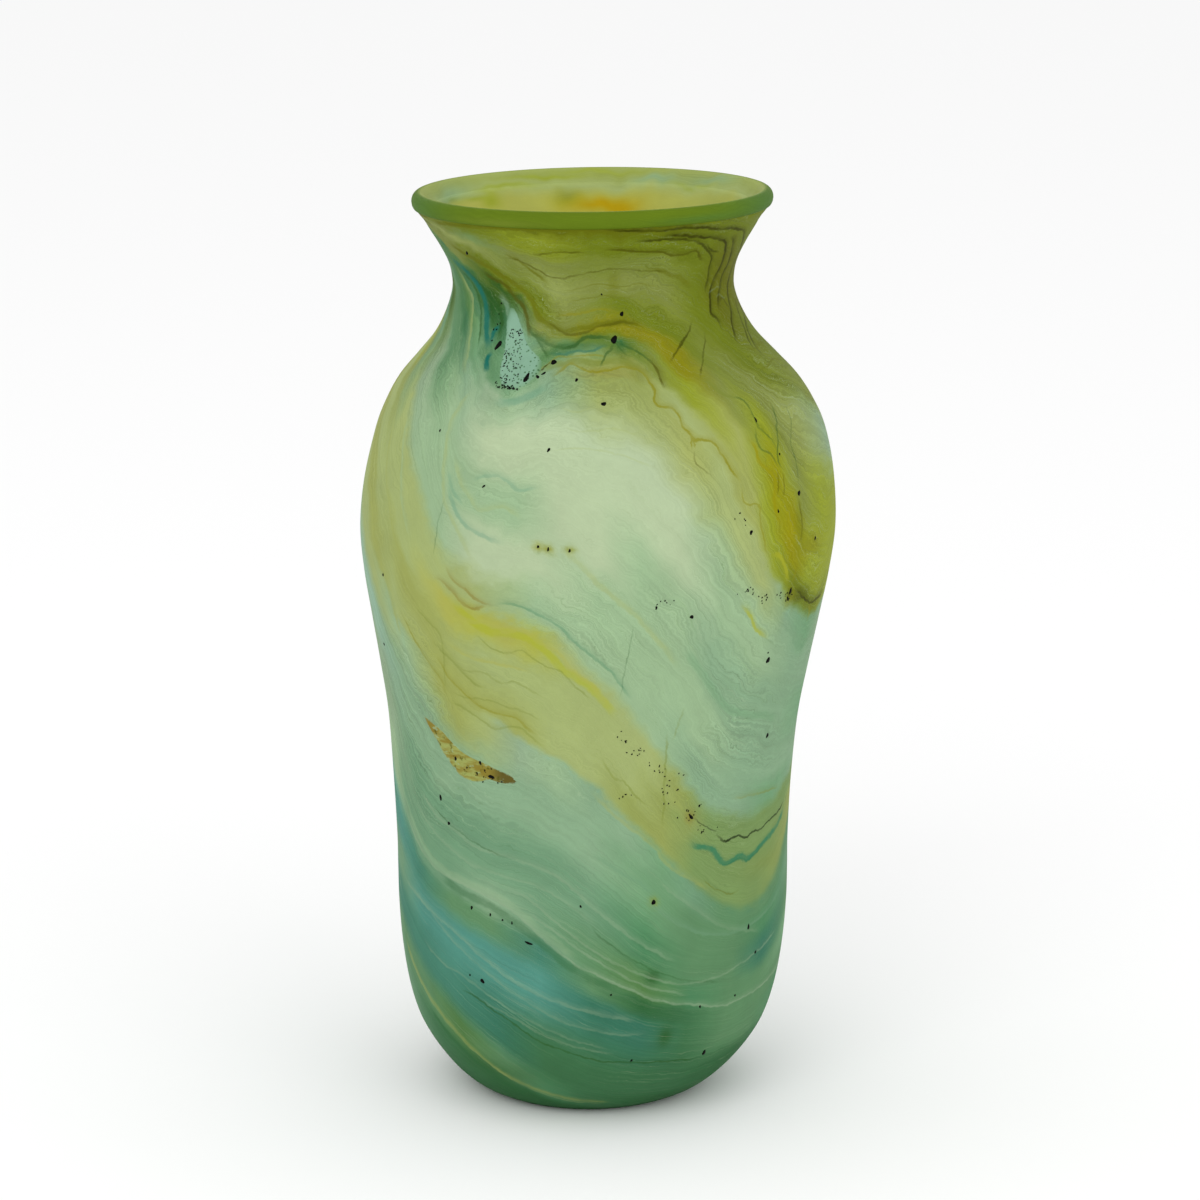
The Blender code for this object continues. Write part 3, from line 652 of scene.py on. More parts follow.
# The inner wall's glass by height, and the pools on it
INSIDE = (
    (0, "celadon"), (180, "celadon"), (235, "hay"), (252, "butter"), (258, "butter"), (262, "butter"),
    (265, "straw"), (268, "meadow"), (271, "meadow"),
)
INSIDE_POOLS = (
    # the first three pools are a painted glow: orange light through the back of the wall, put in as bright
    # colour
    ("painted_glow_orange", 176, 259.4, 15, 2.6, 0.95),
    ("painted_glow_orange", 168, 258.6, 6, 2.4, 0.8),
    ("amber", 190, 261.4, 6, 2.2, 0.6),
    ("lime", -137, 261.6, 5, 2.4, 0.85),
    ("lime", -162, 267.6, 16, 0.7, 0.7),
    ("lime", -145, 265.4, 14, 0.8, 0.7),
    ("lime", -128, 263.4, 12, 0.8, 0.7),
    ("rind", -112, 264.2, 8, 1.0, 0.5),
    ("lime", 140, 265.6, 12, 0.8, 0.4),
    ("mist", 156, 266.6, 9, 1.3, 0.7),
    ("mist", 130, 267.6, 12, 1.4, 0.6),
    ("mist", -115, 266, 14, 2.4, 0.6),
    ("lime", 178, 269, 18, 0.7, 0.5),
    ("khaki", -170, 262.6, 5, 2.2, 0.5),
    ("hay", 128, 261, 16, 2.4, 0.5),
)
LIP_POOLS = (
    ("fern", 72, 267, 26, 8, 0.5),
    ("fern", -74, 267, 24, 8, 0.45),
    ("fern", 35, 266.6, 16, 1.2, 0.3),
    ("moss", -30, 266.4, 18, 1.4, 0.4),
)

# The lip's outline: distance from the axis and height, in mm
LIP = (
    (52.15, 266.3), (52.3, 267.5), (51.95, 268.8), (51.1, 269.7), (50.1, 270.0), (49.2, 269.75),
    (48.4, 269.1), (47.6, 268.15), (46.85, 267.0), (46.15, 265.75), (45.58, 264.6), (44.98, 263.3),
    (44.68, 262.6), (45.2, 262.5), (46.6, 263.9), (48.4, 264.8), (51.2, 265.2), (51.8, 265.6),
)

# A thread's channel holds the way to it up to this far away, in mm, or less for one as
# thin as THIN. Threads closer than that and the margin take different channels.
THREAD_REACH = 2.4
THIN_REACH = 1.0
THREAD_MARGIN = 1.7
THIN = 0.36
CHANNELS = 8
# The channels hold a thread's glass as its number over this, which the palette reads
PALETTE_SIZE = 32
# The slopes of the colour and the level are taken over this height, in mm, and are no
# steeper than these
STEP_UP = 0.9
STEEPEST = 0.04
STEEPEST_LEVEL = 0.4
# How far the finest folds reach, in mm
FOLDS = 7.0
# The inner wall is painted this much lighter than its glasses, as painted light against the shade inside
# the mouth
INSIDE_PAINTED_LIGHT = 1.06
# How far the gather's wall and the casing's top run into the lip
LET_IN = 1.4 * MM
TOP_LET_IN = 0.35 * MM
# The casing's outside is this much wider under the lip than the CAD wall
FLARE = 0.9 * MM
# The seed of the pits' and dots' random places
SEED = 7


def ripple(places, size, seed):
    """Smooth noise of about -1 to 1 whose swells are about this size, in the places' units."""
    random = np.random.default_rng(seed)
    total = np.zeros(len(places))
    waves = 9
    for _ in range(waves):
        way = random.normal(size=3)
        way *= 2 * math.pi / size / np.linalg.norm(way) * random.uniform(0.6, 1.5)
        total += np.sin(places @ way + random.uniform(0, 2 * math.pi))
    return total / math.sqrt(waves)


# ---------------------------------------------------------------- shapes taken from the frame


def section(name):
    """A turned node's outline in the half plane y = 0, x >= 0, followed from inside to outside."""
    shape = bmesh.new()
    shape.from_mesh(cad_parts[name].data)
    bmesh.ops.remove_doubles(shape, verts=shape.verts, dist=1e-6)
    flat = {v for v in shape.verts if abs(v.co.y) < 1e-6 and v.co.x > -1e-6}
    beside = {v: [e.other_vert(v) for e in v.link_edges if e.other_vert(v) in flat] for v in flat}
    ends = [v for v in flat if len(beside[v]) == 1]
    start = max(ends, key=lambda v: v.co.z) if ends else min(flat, key=lambda v: v.co.x)
    path = [start]
    while True:
        fresh = [v for v in beside[path[-1]] if v not in path]
        if not fresh:
            break
        path.append(max(fresh, key=lambda v: v.co.z) if len(path) == 1 else fresh[0])
    points = np.array([(v.co.x, v.co.z) for v in path])
    shape.free()
    return points


def smooth_path(points, spacing):
    """The Catmull-Rom curve through the points, with vertices about this far apart."""
    points = np.asarray(points, float)
    ends = np.vstack([2 * points[0] - points[1], points, 2 * points[-1] - points[-2]])
    fine = [points[:1]]
    for i in range(len(points) - 1):
        a, b, c, d = ends[i : i + 4]
        t = np.linspace(0, 1, 17)[1:, None]
        bend = (2 * a - 5 * b + 4 * c - d) * t**2 + (3 * b - a - 3 * c + d) * t**3
        fine.append(0.5 * (2 * b + (c - a) * t + bend))
    fine = np.vstack(fine)
    along = np.concatenate([[0], np.cumsum(np.linalg.norm(np.diff(fine, axis=0), axis=1))])
    count = max(2, round(along[-1] / spacing) + 1)
    at = np.linspace(0, along[-1], count)
    return np.stack([np.interp(at, along, fine[:, k]) for k in range(fine.shape[1])], axis=-1)


# The blown form wanders from the true axis: (height in mm, sideways in mm)
LEAN = (
    (0, -1.9), (20, -1.0), (60, -0.6), (100, -0.6), (150, 0.4), (180, 1.2), (200, 1.75), (220, 1.0),
    (240, -0.3), (270, -0.7),
)
# It is out of round by this share of its radius, dimpled by about this much at a radius
# of 60 mm, and its mouth rises by this share of the way to the right
OVAL = 0.0035
DIMPLE = 0.10 * MM
DIMPLED_RADIUS = 60 * MM
MOUTH_TILT = 0.014
# At the vase's wall a degree of azimuth is about this many mm
DEGREE = 0.9


def blown(azimuth, radius, height):
    """Points of the hand blown surface, for true radii and heights in metres."""
    angle = np.radians(azimuth)
    true = np.stack([radius * np.sin(angle), -radius * np.cos(angle), height], axis=-1)
    uneven = 1 + OVAL * np.cos(2 * (angle - 0.9)) + DIMPLE / DIMPLED_RADIUS * ripple(true, 0.055, 3)
    lean_at, lean = np.array(LEAN).T * MM
    rows = smooth_path(np.stack([lean_at, lean], axis=-1), 2 * MM)
    side = np.interp(height, rows[:, 0], rows[:, 1])
    depth = 0.35 * side + 0.4 * MM * np.sin(height * 26)
    raised = height + MOUTH_TILT * true[..., 0] * smoothstep(0.225, 0.265, height)
    return np.stack([true[..., 0] * uneven + side, true[..., 1] * uneven + depth, raised], axis=-1)


def mesh_object(name, points, faces):
    """A smooth mesh object in the scene, its faces turned outwards."""
    mesh = bpy.data.meshes.new(name)
    mesh.from_pydata(points.tolist(), [], faces)
    mesh.update()
    piece = bpy.data.objects.new(name, mesh)
    bpy.context.scene.collection.objects.link(piece)
    shape = bmesh.new()
    shape.from_mesh(mesh)
    bmesh.ops.recalc_face_normals(shape, faces=shape.faces)
    shape.to_mesh(mesh)
    shape.free()
    mesh.shade_smooth()
    return piece


def sheet_mesh(name, profile, columns, closed):
    """A turned mesh on the blown form. Returns the object, and each vertex's azimuth and true place."""
    rows = len(profile)
    across = np.tile(np.linspace(-180, 180, columns, endpoint=False), rows)
    radius = np.repeat(profile[:, 0], columns)
    height = np.repeat(profile[:, 1], columns)
    points = blown(across, radius, height)
    index = np.arange(rows * columns).reshape(rows, columns)
    upper = index if closed else index[:-1]
    lower = np.roll(index, -1, axis=0) if closed else index[1:]
    quads = np.stack([upper, lower, np.roll(lower, -1, axis=1), np.roll(upper, -1, axis=1)], axis=-1)
    faces = quads.reshape(-1, 4).tolist()
    if not closed:
        for ring, turn in ((index[0], 1), (index[-1], -1)):
            centre = points[ring].mean(axis=0)
            hub = len(points)
            points = np.vstack([points, centre])
            across = np.append(across, 0.0)
            radius = np.append(radius, 0.0)
            height = np.append(height, centre[2])
            faces += [[hub, a, b][::turn] for a, b in zip(ring, np.roll(ring, -1))]
    return mesh_object(name, points, faces), across, radius, height


# The casing's outline: its inside up to the flat top, its outside from the top on, and
# the part of the outside down to the table, which is the wall that the pattern lies on
OVERLAY = section("marbled_overlay")
TOP_ROWS = np.flatnonzero(OVERLAY[:, 1] > WALL_TOP - 1e-5)
OVERLAY_INSIDE = OVERLAY[: TOP_ROWS[0] + 1]
OVERLAY_OUTSIDE = OVERLAY[TOP_ROWS[-1] :]
WALL = OVERLAY_OUTSIDE[: int(np.argmin(OVERLAY_OUTSIDE[:, 1])) + 1]
FINE_WALL = smooth_path(WALL, MM)[::-1]


def true_place(azimuth, height):
    """The point of the true outer wall there, in mm."""
    radius = np.interp(height, FINE_WALL[:, 1] / MM, FINE_WALL[:, 0] / MM)
    angle = np.radians(azimuth)
    return np.stack([radius * np.sin(angle), -radius * np.cos(angle), np.asarray(height, float)], axis=-1)


def wall_radius(height):
    return np.interp(height, FINE_WALL[:, 1], FINE_WALL[:, 0])


def on_skin(azimuth, height, lift):
    """Places on the blown outer skin, raised by lift. Heights in mm, lift in metres."""
    height = np.asarray(height, float) * MM
    return blown(np.asarray(azimuth, float), wall_radius(height) + lift, height)


def cap(azimuths, heights, rise, sunk):
    """Points and faces of a closed lens set in the skin, from rings of skin places, hub first."""
    rings, count = azimuths.shape
    out = np.linspace(0, 1, rings + 1)[1:, None]
    dome = (1 - out**2) ** 0.7
    upper = np.broadcast_to(rise * dome - sunk * out**3, azimuths.shape)
    lower = np.broadcast_to(-(rise + 2 * sunk) * dome - sunk * out**3, azimuths.shape)[:-1]
    top = on_skin(azimuths.ravel(), heights.ravel(), upper.ravel())
    bottom = on_skin(azimuths[:-1].ravel(), heights[:-1].ravel(), lower.ravel())
    middle = [azimuths[0].mean()], [heights[0].mean()]
    points = np.vstack([top, bottom, on_skin(*middle, rise), on_skin(*middle, -2 * sunk - rise)])
    over = np.arange(rings * count).reshape(rings, count)
    under = np.vstack([rings * count + over[:-1], over[-1:]])
    faces = []
    for skin, hub in ((over, len(points) - 2), (under, len(points) - 1)):
        turned = np.roll(skin, -1, axis=1)
        faces += [[hub, a, b] for a, b in zip(skin[0], turned[0])]
        for r in range(rings - 1):
            faces += np.stack([skin[r], skin[r + 1], turned[r + 1], turned[r]], axis=-1).tolist()
    return points, faces


def joined(name, parts):
    """One mesh object of several closed lenses."""
    points, faces = [], []
    for part, its_faces in parts:
        faces += [[k + sum(map(len, points)) for k in face] for face in its_faces]
        points.append(part)
    return mesh_object(name, np.vstack(points), faces)


def seed_lens(azimuth, height, half_length, half_width, leaning):
    """A small black bubble that stands a little proud of the skin."""
    count = 10
    turn = np.linspace(0, 2 * math.pi, count, endpoint=False)
    uneven = 1 + 0.18 * np.sin(2 * turn + azimuth) + 0.12 * np.sin(3 * turn + height)
    out = np.array([[0.55], [1.0]])
    along = out * half_length * uneven * np.cos(turn)
    across = out * half_width * uneven * np.sin(turn)
    lean = math.radians(leaning)
    up = along * math.cos(lean) - across * math.sin(lean)
    side = along * math.sin(lean) + across * math.cos(lean)
    degrees = np.degrees(side * MM / wall_radius(height * MM))
    return cap(azimuth + degrees, height + up, 0.22 * MM, 0.04 * MM)


def patch_lens(edge, hub, rings, rise):
    """A shard's lens: rings that shrink from its ragged edge to its hub."""
    azimuths, heights = np.array(edge + edge[:1], float).T
    rim = smooth_path(np.stack([azimuths * DEGREE, heights], axis=-1), 0.7)[:-1]
    rim[:, 0] /= DEGREE
    rough = 0.25 * ripple(np.c_[rim, np.zeros(len(rim))], 3.0, 21)
    rim = rim + (rim - np.array(hub)) * 0.03 * rough[:, None]
    out = np.linspace(0, 1, rings + 1)[1:, None]
    return cap(hub[0] + out * (rim[:, 0] - hub[0]), hub[1] + out * (rim[:, 1] - hub[1]), rise, 0.05 * MM)


# ---------------------------------------------------------------- painting the glass


def set_attribute(mesh, name, kind, values):
    made = mesh.attributes.new(name, kind, "POINT")
    field = {"FLOAT": "value", "FLOAT_COLOR": "color"}[kind]
    made.data.foreach_set(field, np.ascontiguousarray(values, np.float32).ravel())


def trail_field(places, points):
    """Each place's distance from the trail, below 0 on one side, its share along it, and the length."""
    line = smooth_path(np.array(points, float), 1.5)
    line = true_place(line[:, 0], line[:, 1])
    start, step = line[:-1], np.diff(line, axis=0)
    length = np.linalg.norm(step, axis=1)
    gap = places[:, None, :] - start[None]
    share = np.clip((gap * step).sum(-1) / length**2, 0, 1)
    away = gap - share[..., None] * step
    distance = np.linalg.norm(away, axis=-1)
    near = distance.argmin(axis=1)
    own = np.arange(len(places))
    out = places * np.array([1, 1, 0.0])
    side = (np.cross(step[near], away[own, near]) * out).sum(-1)
    reached = np.concatenate([[0], np.cumsum(length)])
    along = (reached[near] + share[own, near] * length[near]) / reached[-1]
    return np.where(side < 0, -1, 1) * distance[own, near], along, reached[-1]


def back_thread(band, start, end, glass, half_width, strength):
    """A wavering trail that keeps to one place between two bands."""
    azimuths = np.linspace(start, end, 1 + round(abs(end - start) / 8))
    curves = [[point[:2] for point in BANDS[k]] for k in (int(band), int(band) + 1)]
    low, high = (round_curve(*zip(*curve), azimuths) for curve in curves)
    waver = 0.8 * np.sin(0.11 * azimuths + 3 * band) + 0.5 * np.sin(0.27 * azimuths + 5 * band)
    heights = low + (high - low) * (band - int(band)) + waver
    return glass, half_width, strength, tuple(zip(azimuths, heights))


def near_trail(places, points, reach):
    """Which places lie near a trail, with their distance from it and its fading strength there."""
    marks = true_place(*np.array(points, float).T)
    box = (places > marks.min(0) - 12) & (places < marks.max(0) + 12)
    near = np.flatnonzero(box.all(axis=1))
    distance, along, length = trail_field(places[near], points)
    inside = np.abs(distance) < reach + THREAD_MARGIN
    near, distance, along = near[inside], distance[inside], along[inside]
    taper = np.minimum(0.25, 5.0 / length)
    fade = smoothstep(0, taper, along) * smoothstep(0, taper, 1 - along)
    return near, distance, fade * (1 - smoothstep(0.6 * reach, reach, np.abs(distance)))


def paint_trails(places):
    """Lays each trail in a channel where its neighbourhood is free."""
    channels = np.zeros((CHANNELS, len(places), 4))
    channels[:, :, 0] = THREAD_REACH
    channels[:, :, 1] = 1.0
    used = np.zeros((CHANNELS, len(places)), bool)
    behind = tuple(back_thread(*thread) for thread in BACK_THREADS)
    for glass, half_width, strength, points in TRAILS + behind:
        reach = THREAD_REACH if half_width > THIN else THIN_REACH
        near, distance, fade = near_trail(places, points, reach)
        free = [c for c in range(CHANNELS) if not used[c, near].any()]
        channel = free[0] if free else int(used[:, near].sum(axis=1).argmin())
        used[channel, near] = True
        number = THREADS.index(glass) / PALETTE_SIZE
        own = [np.full(len(near), half_width), strength * fade, np.full(len(near), number)]
        channels[channel, near] = np.stack([distance, *own], axis=-1)
    return channels


def paint_pools(azimuth, height, tint, pools=POOLS):
    """Lays soft pools of colour on display colours."""
    for glass, at_azimuth, at_height, wide, tall, strength in pools:
        off_azimuth = (azimuth - at_azimuth + 180) % 360 - 180
        away = np.hypot(off_azimuth / wide, (height - at_height) / tall)
        share = (strength * np.exp(-1.2 * away**2))[:, None]
        tint = tint * (1 - share) + np.array(GLASS[glass], float) * share
    return tint


def marble(mesh, azimuth, height):
    """Stores the swirl on a mesh: its colour and level, how they change upwards, and the threads."""
    height = height / MM
    places = true_place(azimuth, np.clip(height, 0, 270))
    wander = smoothstep(70, 130, height)
    lift = (0.25 + 0.75 * wander) * (0.9 * ripple(places, 26, 11) + 0.6 * ripple(places, 9, 12))
    drift = wander * (0.9 * ripple(places, 30, 13) + 0.4 * ripple(places, 11, 14))
    level, tint = flow(azimuth + drift, height + lift)
    tint = paint_pools(azimuth, height, tint)
    sheer = 0.35 + 0.65 * smoothstep(58, 115, height)
    set_attribute(mesh, "pattern", "FLOAT_COLOR", np.c_[linear(tint), sheer])
    set_attribute(mesh, "level", "FLOAT", level)
    above, tint_above = flow(azimuth + drift, height + STEP_UP + lift)
    tint_above = paint_pools(azimuth, height + STEP_UP, tint_above)
    slope = np.clip((linear(tint_above) - linear(tint)) / STEP_UP, -STEEPEST, STEEPEST)
    steep = np.clip((above - level) / STEP_UP, 0, STEEPEST_LEVEL)
    set_attribute(mesh, "slope", "FLOAT_COLOR", np.c_[slope, steep])
    for c, channel in enumerate(paint_trails(places)):
        set_attribute(mesh, f"trail_{c}", "FLOAT_COLOR", channel)


# ---------------------------------------------------------------- materials


DARK_GREY = (0.3, 0.3, 0.3, 1)
LIGHT_GREY = (0.7, 0.7, 0.7, 1)


class Glass:
    """A satin glass material, with short ways to add nodes to it."""

    def __init__(self, name, roughness, specular):
        self.material = bpy.data.materials.new(name)
        self.material.use_nodes = True
        self.tree = self.material.node_tree
        self.shader = self.tree.nodes["Principled BSDF"]
        self.shader.inputs["Roughness"].default_value = roughness
        self.shader.inputs["Specular IOR Level"].default_value = specular
        self.place = self.add("ShaderNodeTexCoord").outputs["Object"]

    def add(self, kind, **settings):
        node = self.tree.nodes.new(kind)
        for name, value in settings.items():
            setattr(node, name, value)
        return node

    def join(self, source, socket):
        if isinstance(source, bpy.types.NodeSocket):
            self.tree.links.new(source, socket)
        else:
            socket.default_value = source

    def math(self, operation, *values, clamp=False):
        node = self.add("ShaderNodeMath", operation=operation, use_clamp=clamp)
        for value, socket in zip(values, node.inputs):
            self.join(value, socket)
        return node.outputs[0]

    def attribute(self, name):
        return self.add("ShaderNodeAttribute", attribute_name=name)

    def mix(self, share, first, second, blend="MIX"):
        node = self.add("ShaderNodeMix", data_type="RGBA", blend_type=blend)
        factor, a, b = (node.inputs[k] for k in (0, 6, 7))
        self.join(share, factor)
        self.join(first, a)
        self.join(second, b)
        return node.outputs[2]

    def noise(self, scale, detail=2.0, roughness=0.5, place=None, w=None):
        node = self.add("ShaderNodeTexNoise", noise_dimensions="3D" if w is None else "4D")
        self.join(place or self.place, node.inputs["Vector"])
        node.inputs["Scale"].default_value = scale
        node.inputs["Detail"].default_value = detail
        node.inputs["Roughness"].default_value = roughness
        if w is not None:
            self.join(w, node.inputs["W"])
        return node.outputs["Fac"]

    def smooth(self, value, low, high, start=0.0, end=1.0):
        node = self.add("ShaderNodeMapRange", interpolation_type="SMOOTHSTEP")
        self.join(value, node.inputs["Value"])
        self.join(low, node.inputs["From Min"])
        self.join(high, node.inputs["From Max"])
        self.join(start, node.inputs["To Min"])
        self.join(end, node.inputs["To Max"])
        return node.outputs["Result"]

    def squeezed(self, scale):
        """The object's coordinates, each multiplied by its own scale."""
        node = self.add("ShaderNodeVectorMath", operation="MULTIPLY")
        self.join(self.place, node.inputs[0])
        self.join(scale, node.inputs[1])
        return node.outputs["Vector"]

    def bump(self, height, distance):
        node = self.add("ShaderNodeBump")
        node.inputs["Strength"].default_value = 1.0
        node.inputs["Distance"].default_value = distance
        self.join(height, node.inputs["Height"])
        self.join(node.outputs["Normal"], self.shader.inputs["Normal"])

    def paint(self, colour):
        self.join(colour, self.shader.inputs["Base Color"])
        return self.material


def rgba(name):
    return (*linear(GLASS[name]).tolist(), 1.0)


def palette(glass, at):
    """The thread glass whose number in THREADS, over PALETTE_SIZE, is at."""
    node = glass.add("ShaderNodeValToRGB")
    ramp = node.color_ramp
    ramp.interpolation = "CONSTANT"
    ramp.elements[0].position = 0.0
    ramp.elements[0].color = rgba(THREADS[0])
    ramp.elements.remove(ramp.elements[1])
    for k, name in enumerate(THREADS[1:], 1):
        ramp.elements.new((k - 0.5) / PALETTE_SIZE).color = rgba(name)
    glass.join(at, node.inputs["Fac"])
    return node.outputs["Color"]


def thread_layer(glass, colour, channel, jitter, worn):
    """Lays one channel of threads over a colour."""
    data = glass.attribute(f"trail_{channel}")
    parts = glass.add("ShaderNodeSeparateColor")
    glass.join(data.outputs["Color"], parts.inputs["Color"])
    distance, width, strength = parts.outputs
    distance = glass.math("ADD", distance, jitter)
    away = glass.math("ABSOLUTE", distance)
    full, none = (glass.math("MULTIPLY", width, share) for share in (0.35, 1.2))
    core = glass.smooth(away, full, none, 1.0, 0.0)
    start = glass.smooth(distance, -0.3, 0.1)
    soft = glass.math("MULTIPLY", start, glass.smooth(distance, 0.0, 2.2, 0.5, 0.0))
    soft = glass.math("MULTIPLY", soft, glass.smooth(width, THIN, 0.55))
    core = glass.math("MULTIPLY", core, worn)
    share = glass.math("MULTIPLY", glass.math("MAXIMUM", core, soft), strength, clamp=True)
    return glass.mix(share, colour, palette(glass, data.outputs["Alpha"]))


def folded(glass, pattern, level):
    """The colour and level read a little higher or lower, so that the bands fold raggedly."""
    slope = glass.attribute("slope")
    ragged = glass.math("SUBTRACT", glass.noise(170, 4.0, 0.62, place=glass.squeezed((1, 1, 1.5))), 0.5)
    calm = glass.math("MULTIPLY", ragged, pattern.outputs["Alpha"])
    shift = glass.math("MULTIPLY", calm, FOLDS)
    node = glass.add("ShaderNodeVectorMath", operation="MULTIPLY_ADD")
    glass.join(slope.outputs["Color"], node.inputs[0])
    glass.join(shift, node.inputs[1])
    glass.join(pattern.outputs["Color"], node.inputs[2])
    level = glass.math("ADD", level, glass.math("MULTIPLY", shift, slope.outputs["Alpha"]))
    return node.outputs["Vector"], level


def clouded(glass, colour, scale, detail, roughness, share):
    """The colour, made a little lighter and darker in soft clouds."""
    cloud = glass.mix(glass.noise(scale, detail, roughness), DARK_GREY, LIGHT_GREY)
    return glass.mix(share, colour, cloud, "OVERLAY")


def hair_lines(glass, colour, level, busy):
    """Dark and pale hair lines along the bands."""
    hair = glass.noise(11, 1.0, 0.5, w=glass.math("MULTIPLY", level, 3.4))
    for middle, width, strength, tint, blend in (
        (0.5, 0.02, 0.5, (0.55, 0.6, 0.4, 1), "MULTIPLY"),
        (0.43, 0.016, 0.35, rgba("pearl"), "MIX"),
    ):
        away = glass.math("ABSOLUTE", glass.math("SUBTRACT", hair, middle))
        line = glass.math("MULTIPLY", glass.smooth(away, 0.0, width, strength, 0.0), busy)
        colour = glass.mix(line, colour, tint, blend)
    return colour


def marbled(name, lines):
    """The swirled casing: soft bands, fine streaks along them, and the threads on top."""
    glass = Glass(name, 0.6, 0.03)
    level = glass.attribute("level").outputs["Fac"]
    pattern = glass.attribute("pattern")
    colour = pattern.outputs["Color"]
    if lines:
        colour, level = folded(glass, pattern, level)
    fine = glass.noise(16, 2.0, 0.6, w=glass.math("MULTIPLY", level, 2.6))
    split = glass.add("ShaderNodeSeparateColor")
    glass.join(colour, split.inputs["Color"])
    calm = glass.smooth(split.outputs[0], 0.2, 0.38, 1.0, 0.25)
    patchy = glass.smooth(glass.noise(28, 2.0, 0.5), 0.35, 0.65)
    busy = glass.math("MULTIPLY", calm, glass.math("ADD", 0.35, glass.math("MULTIPLY", patchy, 0.65)))
    if lines:
        busy = glass.math("MULTIPLY", busy, glass.math("ADD", 0.25, pattern.outputs["Alpha"]))
    streak = glass.mix(glass.smooth(fine, 0.3, 0.72), (0.32, 0.32, 0.32, 1), (0.68, 0.68, 0.68, 1))
    colour = glass.mix(glass.math("MULTIPLY", busy, 0.42), colour, streak, "OVERLAY")
    colour = clouded(glass, colour, 70, 4.0, 0.65, 0.35)
    if lines:
        colour = hair_lines(glass, colour, level, busy)
        jitter = glass.math("MULTIPLY", glass.math("SUBTRACT", glass.noise(220, 4.0, 0.65), 0.5), 2.2)
        worn = glass.smooth(glass.noise(140, 3.0, 0.6), 0.3, 0.6, 0.6, 1.0)
        for channel in range(CHANNELS):
            colour = thread_layer(glass, colour, channel, jitter, worn)
    glass.bump(glass.noise(900, 3.0, 0.6), 0.00006)
    return glass.paint(colour)


def plain(name, tint, shade, roughness):
    """An unswirled glass, clouded between two colours."""
    glass = Glass(name, roughness, 0.12)
    share = glass.smooth(glass.noise(60, 4.0, 0.6), 0.3, 0.7)
    glass.bump(glass.noise(700, 3.0), 0.00008)
    return glass.paint(glass.mix(share, rgba(tint), rgba(shade)))


def spots(glass, scale, size):
    """1 inside scattered round spots, 0 outside."""
    node = glass.add("ShaderNodeTexVoronoi")
    glass.join(glass.place, node.inputs["Vector"])
    node.inputs["Scale"].default_value = scale
    return glass.smooth(node.outputs["Distance"], size * 0.7, size, 1.0, 0.0)


def amber():
    """Ochre glass with brown and pale folds, darker at its right end and torn at its edge."""
    glass = Glass("amber_satin", 0.5, 0.04)
    fold = glass.noise(260, 3.0, 0.6, place=glass.squeezed((0.45, 0.45, 1.6)))
    colour = glass.mix(glass.smooth(fold, 0.4, 0.62), rgba("ochre"), rgba("hay"))
    axes = glass.add("ShaderNodeSeparateXYZ")
    glass.join(glass.place, axes.inputs[0])
    colour = glass.mix(glass.smooth(axes.outputs[0], -0.031, -0.026), colour, rgba("bark"))
    dark = glass.smooth(glass.noise(520, 3.0, 0.6), 0.55, 0.7)
    colour = glass.mix(glass.math("MULTIPLY", dark, 0.75), colour, rgba("umber"))
    pale = glass.smooth(glass.noise(400, 2.0, 0.5, place=glass.squeezed((1, 1, 2))), 0.6, 0.68)
    colour = glass.mix(glass.math("MULTIPLY", pale, 0.6), colour, rgba("celadon"))
    pattern = glass.attribute("pattern")
    ragged = glass.math("MULTIPLY", glass.noise(480, 3.0, 0.7), 0.9)
    torn = glass.math("ADD", pattern.outputs["Alpha"], ragged)
    colour = glass.mix(glass.smooth(torn, 0.45, 0.85), pattern.outputs["Color"], colour)
    glass.bump(glass.noise(800, 3.0), 0.0001)
    return glass.paint(colour)


def turquoise():
    """Pale turquoise glass that melts into the casing at its edge, speckled with tiny dark pits."""
    glass = Glass("turquoise_satin", 0.5, 0.04)
    pattern = glass.attribute("pattern")
    colour = glass.mix(pattern.outputs["Alpha"], pattern.outputs["Color"], rgba("shallows"))
    colour = clouded(glass, colour, 150, 3.0, 0.6, 0.4)
    axes = glass.add("ShaderNodeSeparateXYZ")
    glass.join(glass.place, axes.inputs[0])
    low = glass.smooth(axes.outputs[2], 0.237, 0.23)
    dots = glass.math("MULTIPLY", spots(glass, 900, 0.32), low)
    colour = glass.mix(glass.math("MULTIPLY", dots, 0.7), colour, rgba("pine"))
    glass.bump(glass.noise(900, 3.0), 0.0001)
    return glass.paint(colour)


def black():
    glass = Glass("seed_black", 0.5, 0.05)
    return glass.paint(rgba("jet"))


# ---------------------------------------------------------------- pieces


def finish_piece(piece, material, slot, *nodes):
    piece.data.materials.append(material)
    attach(piece, "root")
    if nodes:
        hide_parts(*nodes)


def overlay_profile():
    """The casing's outline: coarse inside, fine outside, its top let into the lip."""
    inside = smooth_path(OVERLAY_INSIDE, 9 * MM)
    outside = smooth_path(WALL, 1.35 * MM)
    outside[:, 0] += FLARE * smoothstep(0.2615, 0.2655, outside[:, 1])
    base = smooth_path(OVERLAY_OUTSIDE[len(WALL) - 1 :], 3 * MM)[1:]
    let_in = np.array([[radius, WALL_TOP + TOP_LET_IN] for radius in (inside[-1, 0], outside[0, 0])])
    return np.vstack([inside, let_in, outside, base])


def make_overlay():
    piece, azimuth, _, height = sheet_mesh("overlay", overlay_profile(), 360, False)
    marble(piece.data, azimuth, height)
    finish_piece(piece, marbled("marbled_satin", True), "marbled_glass", "marbled_overlay")


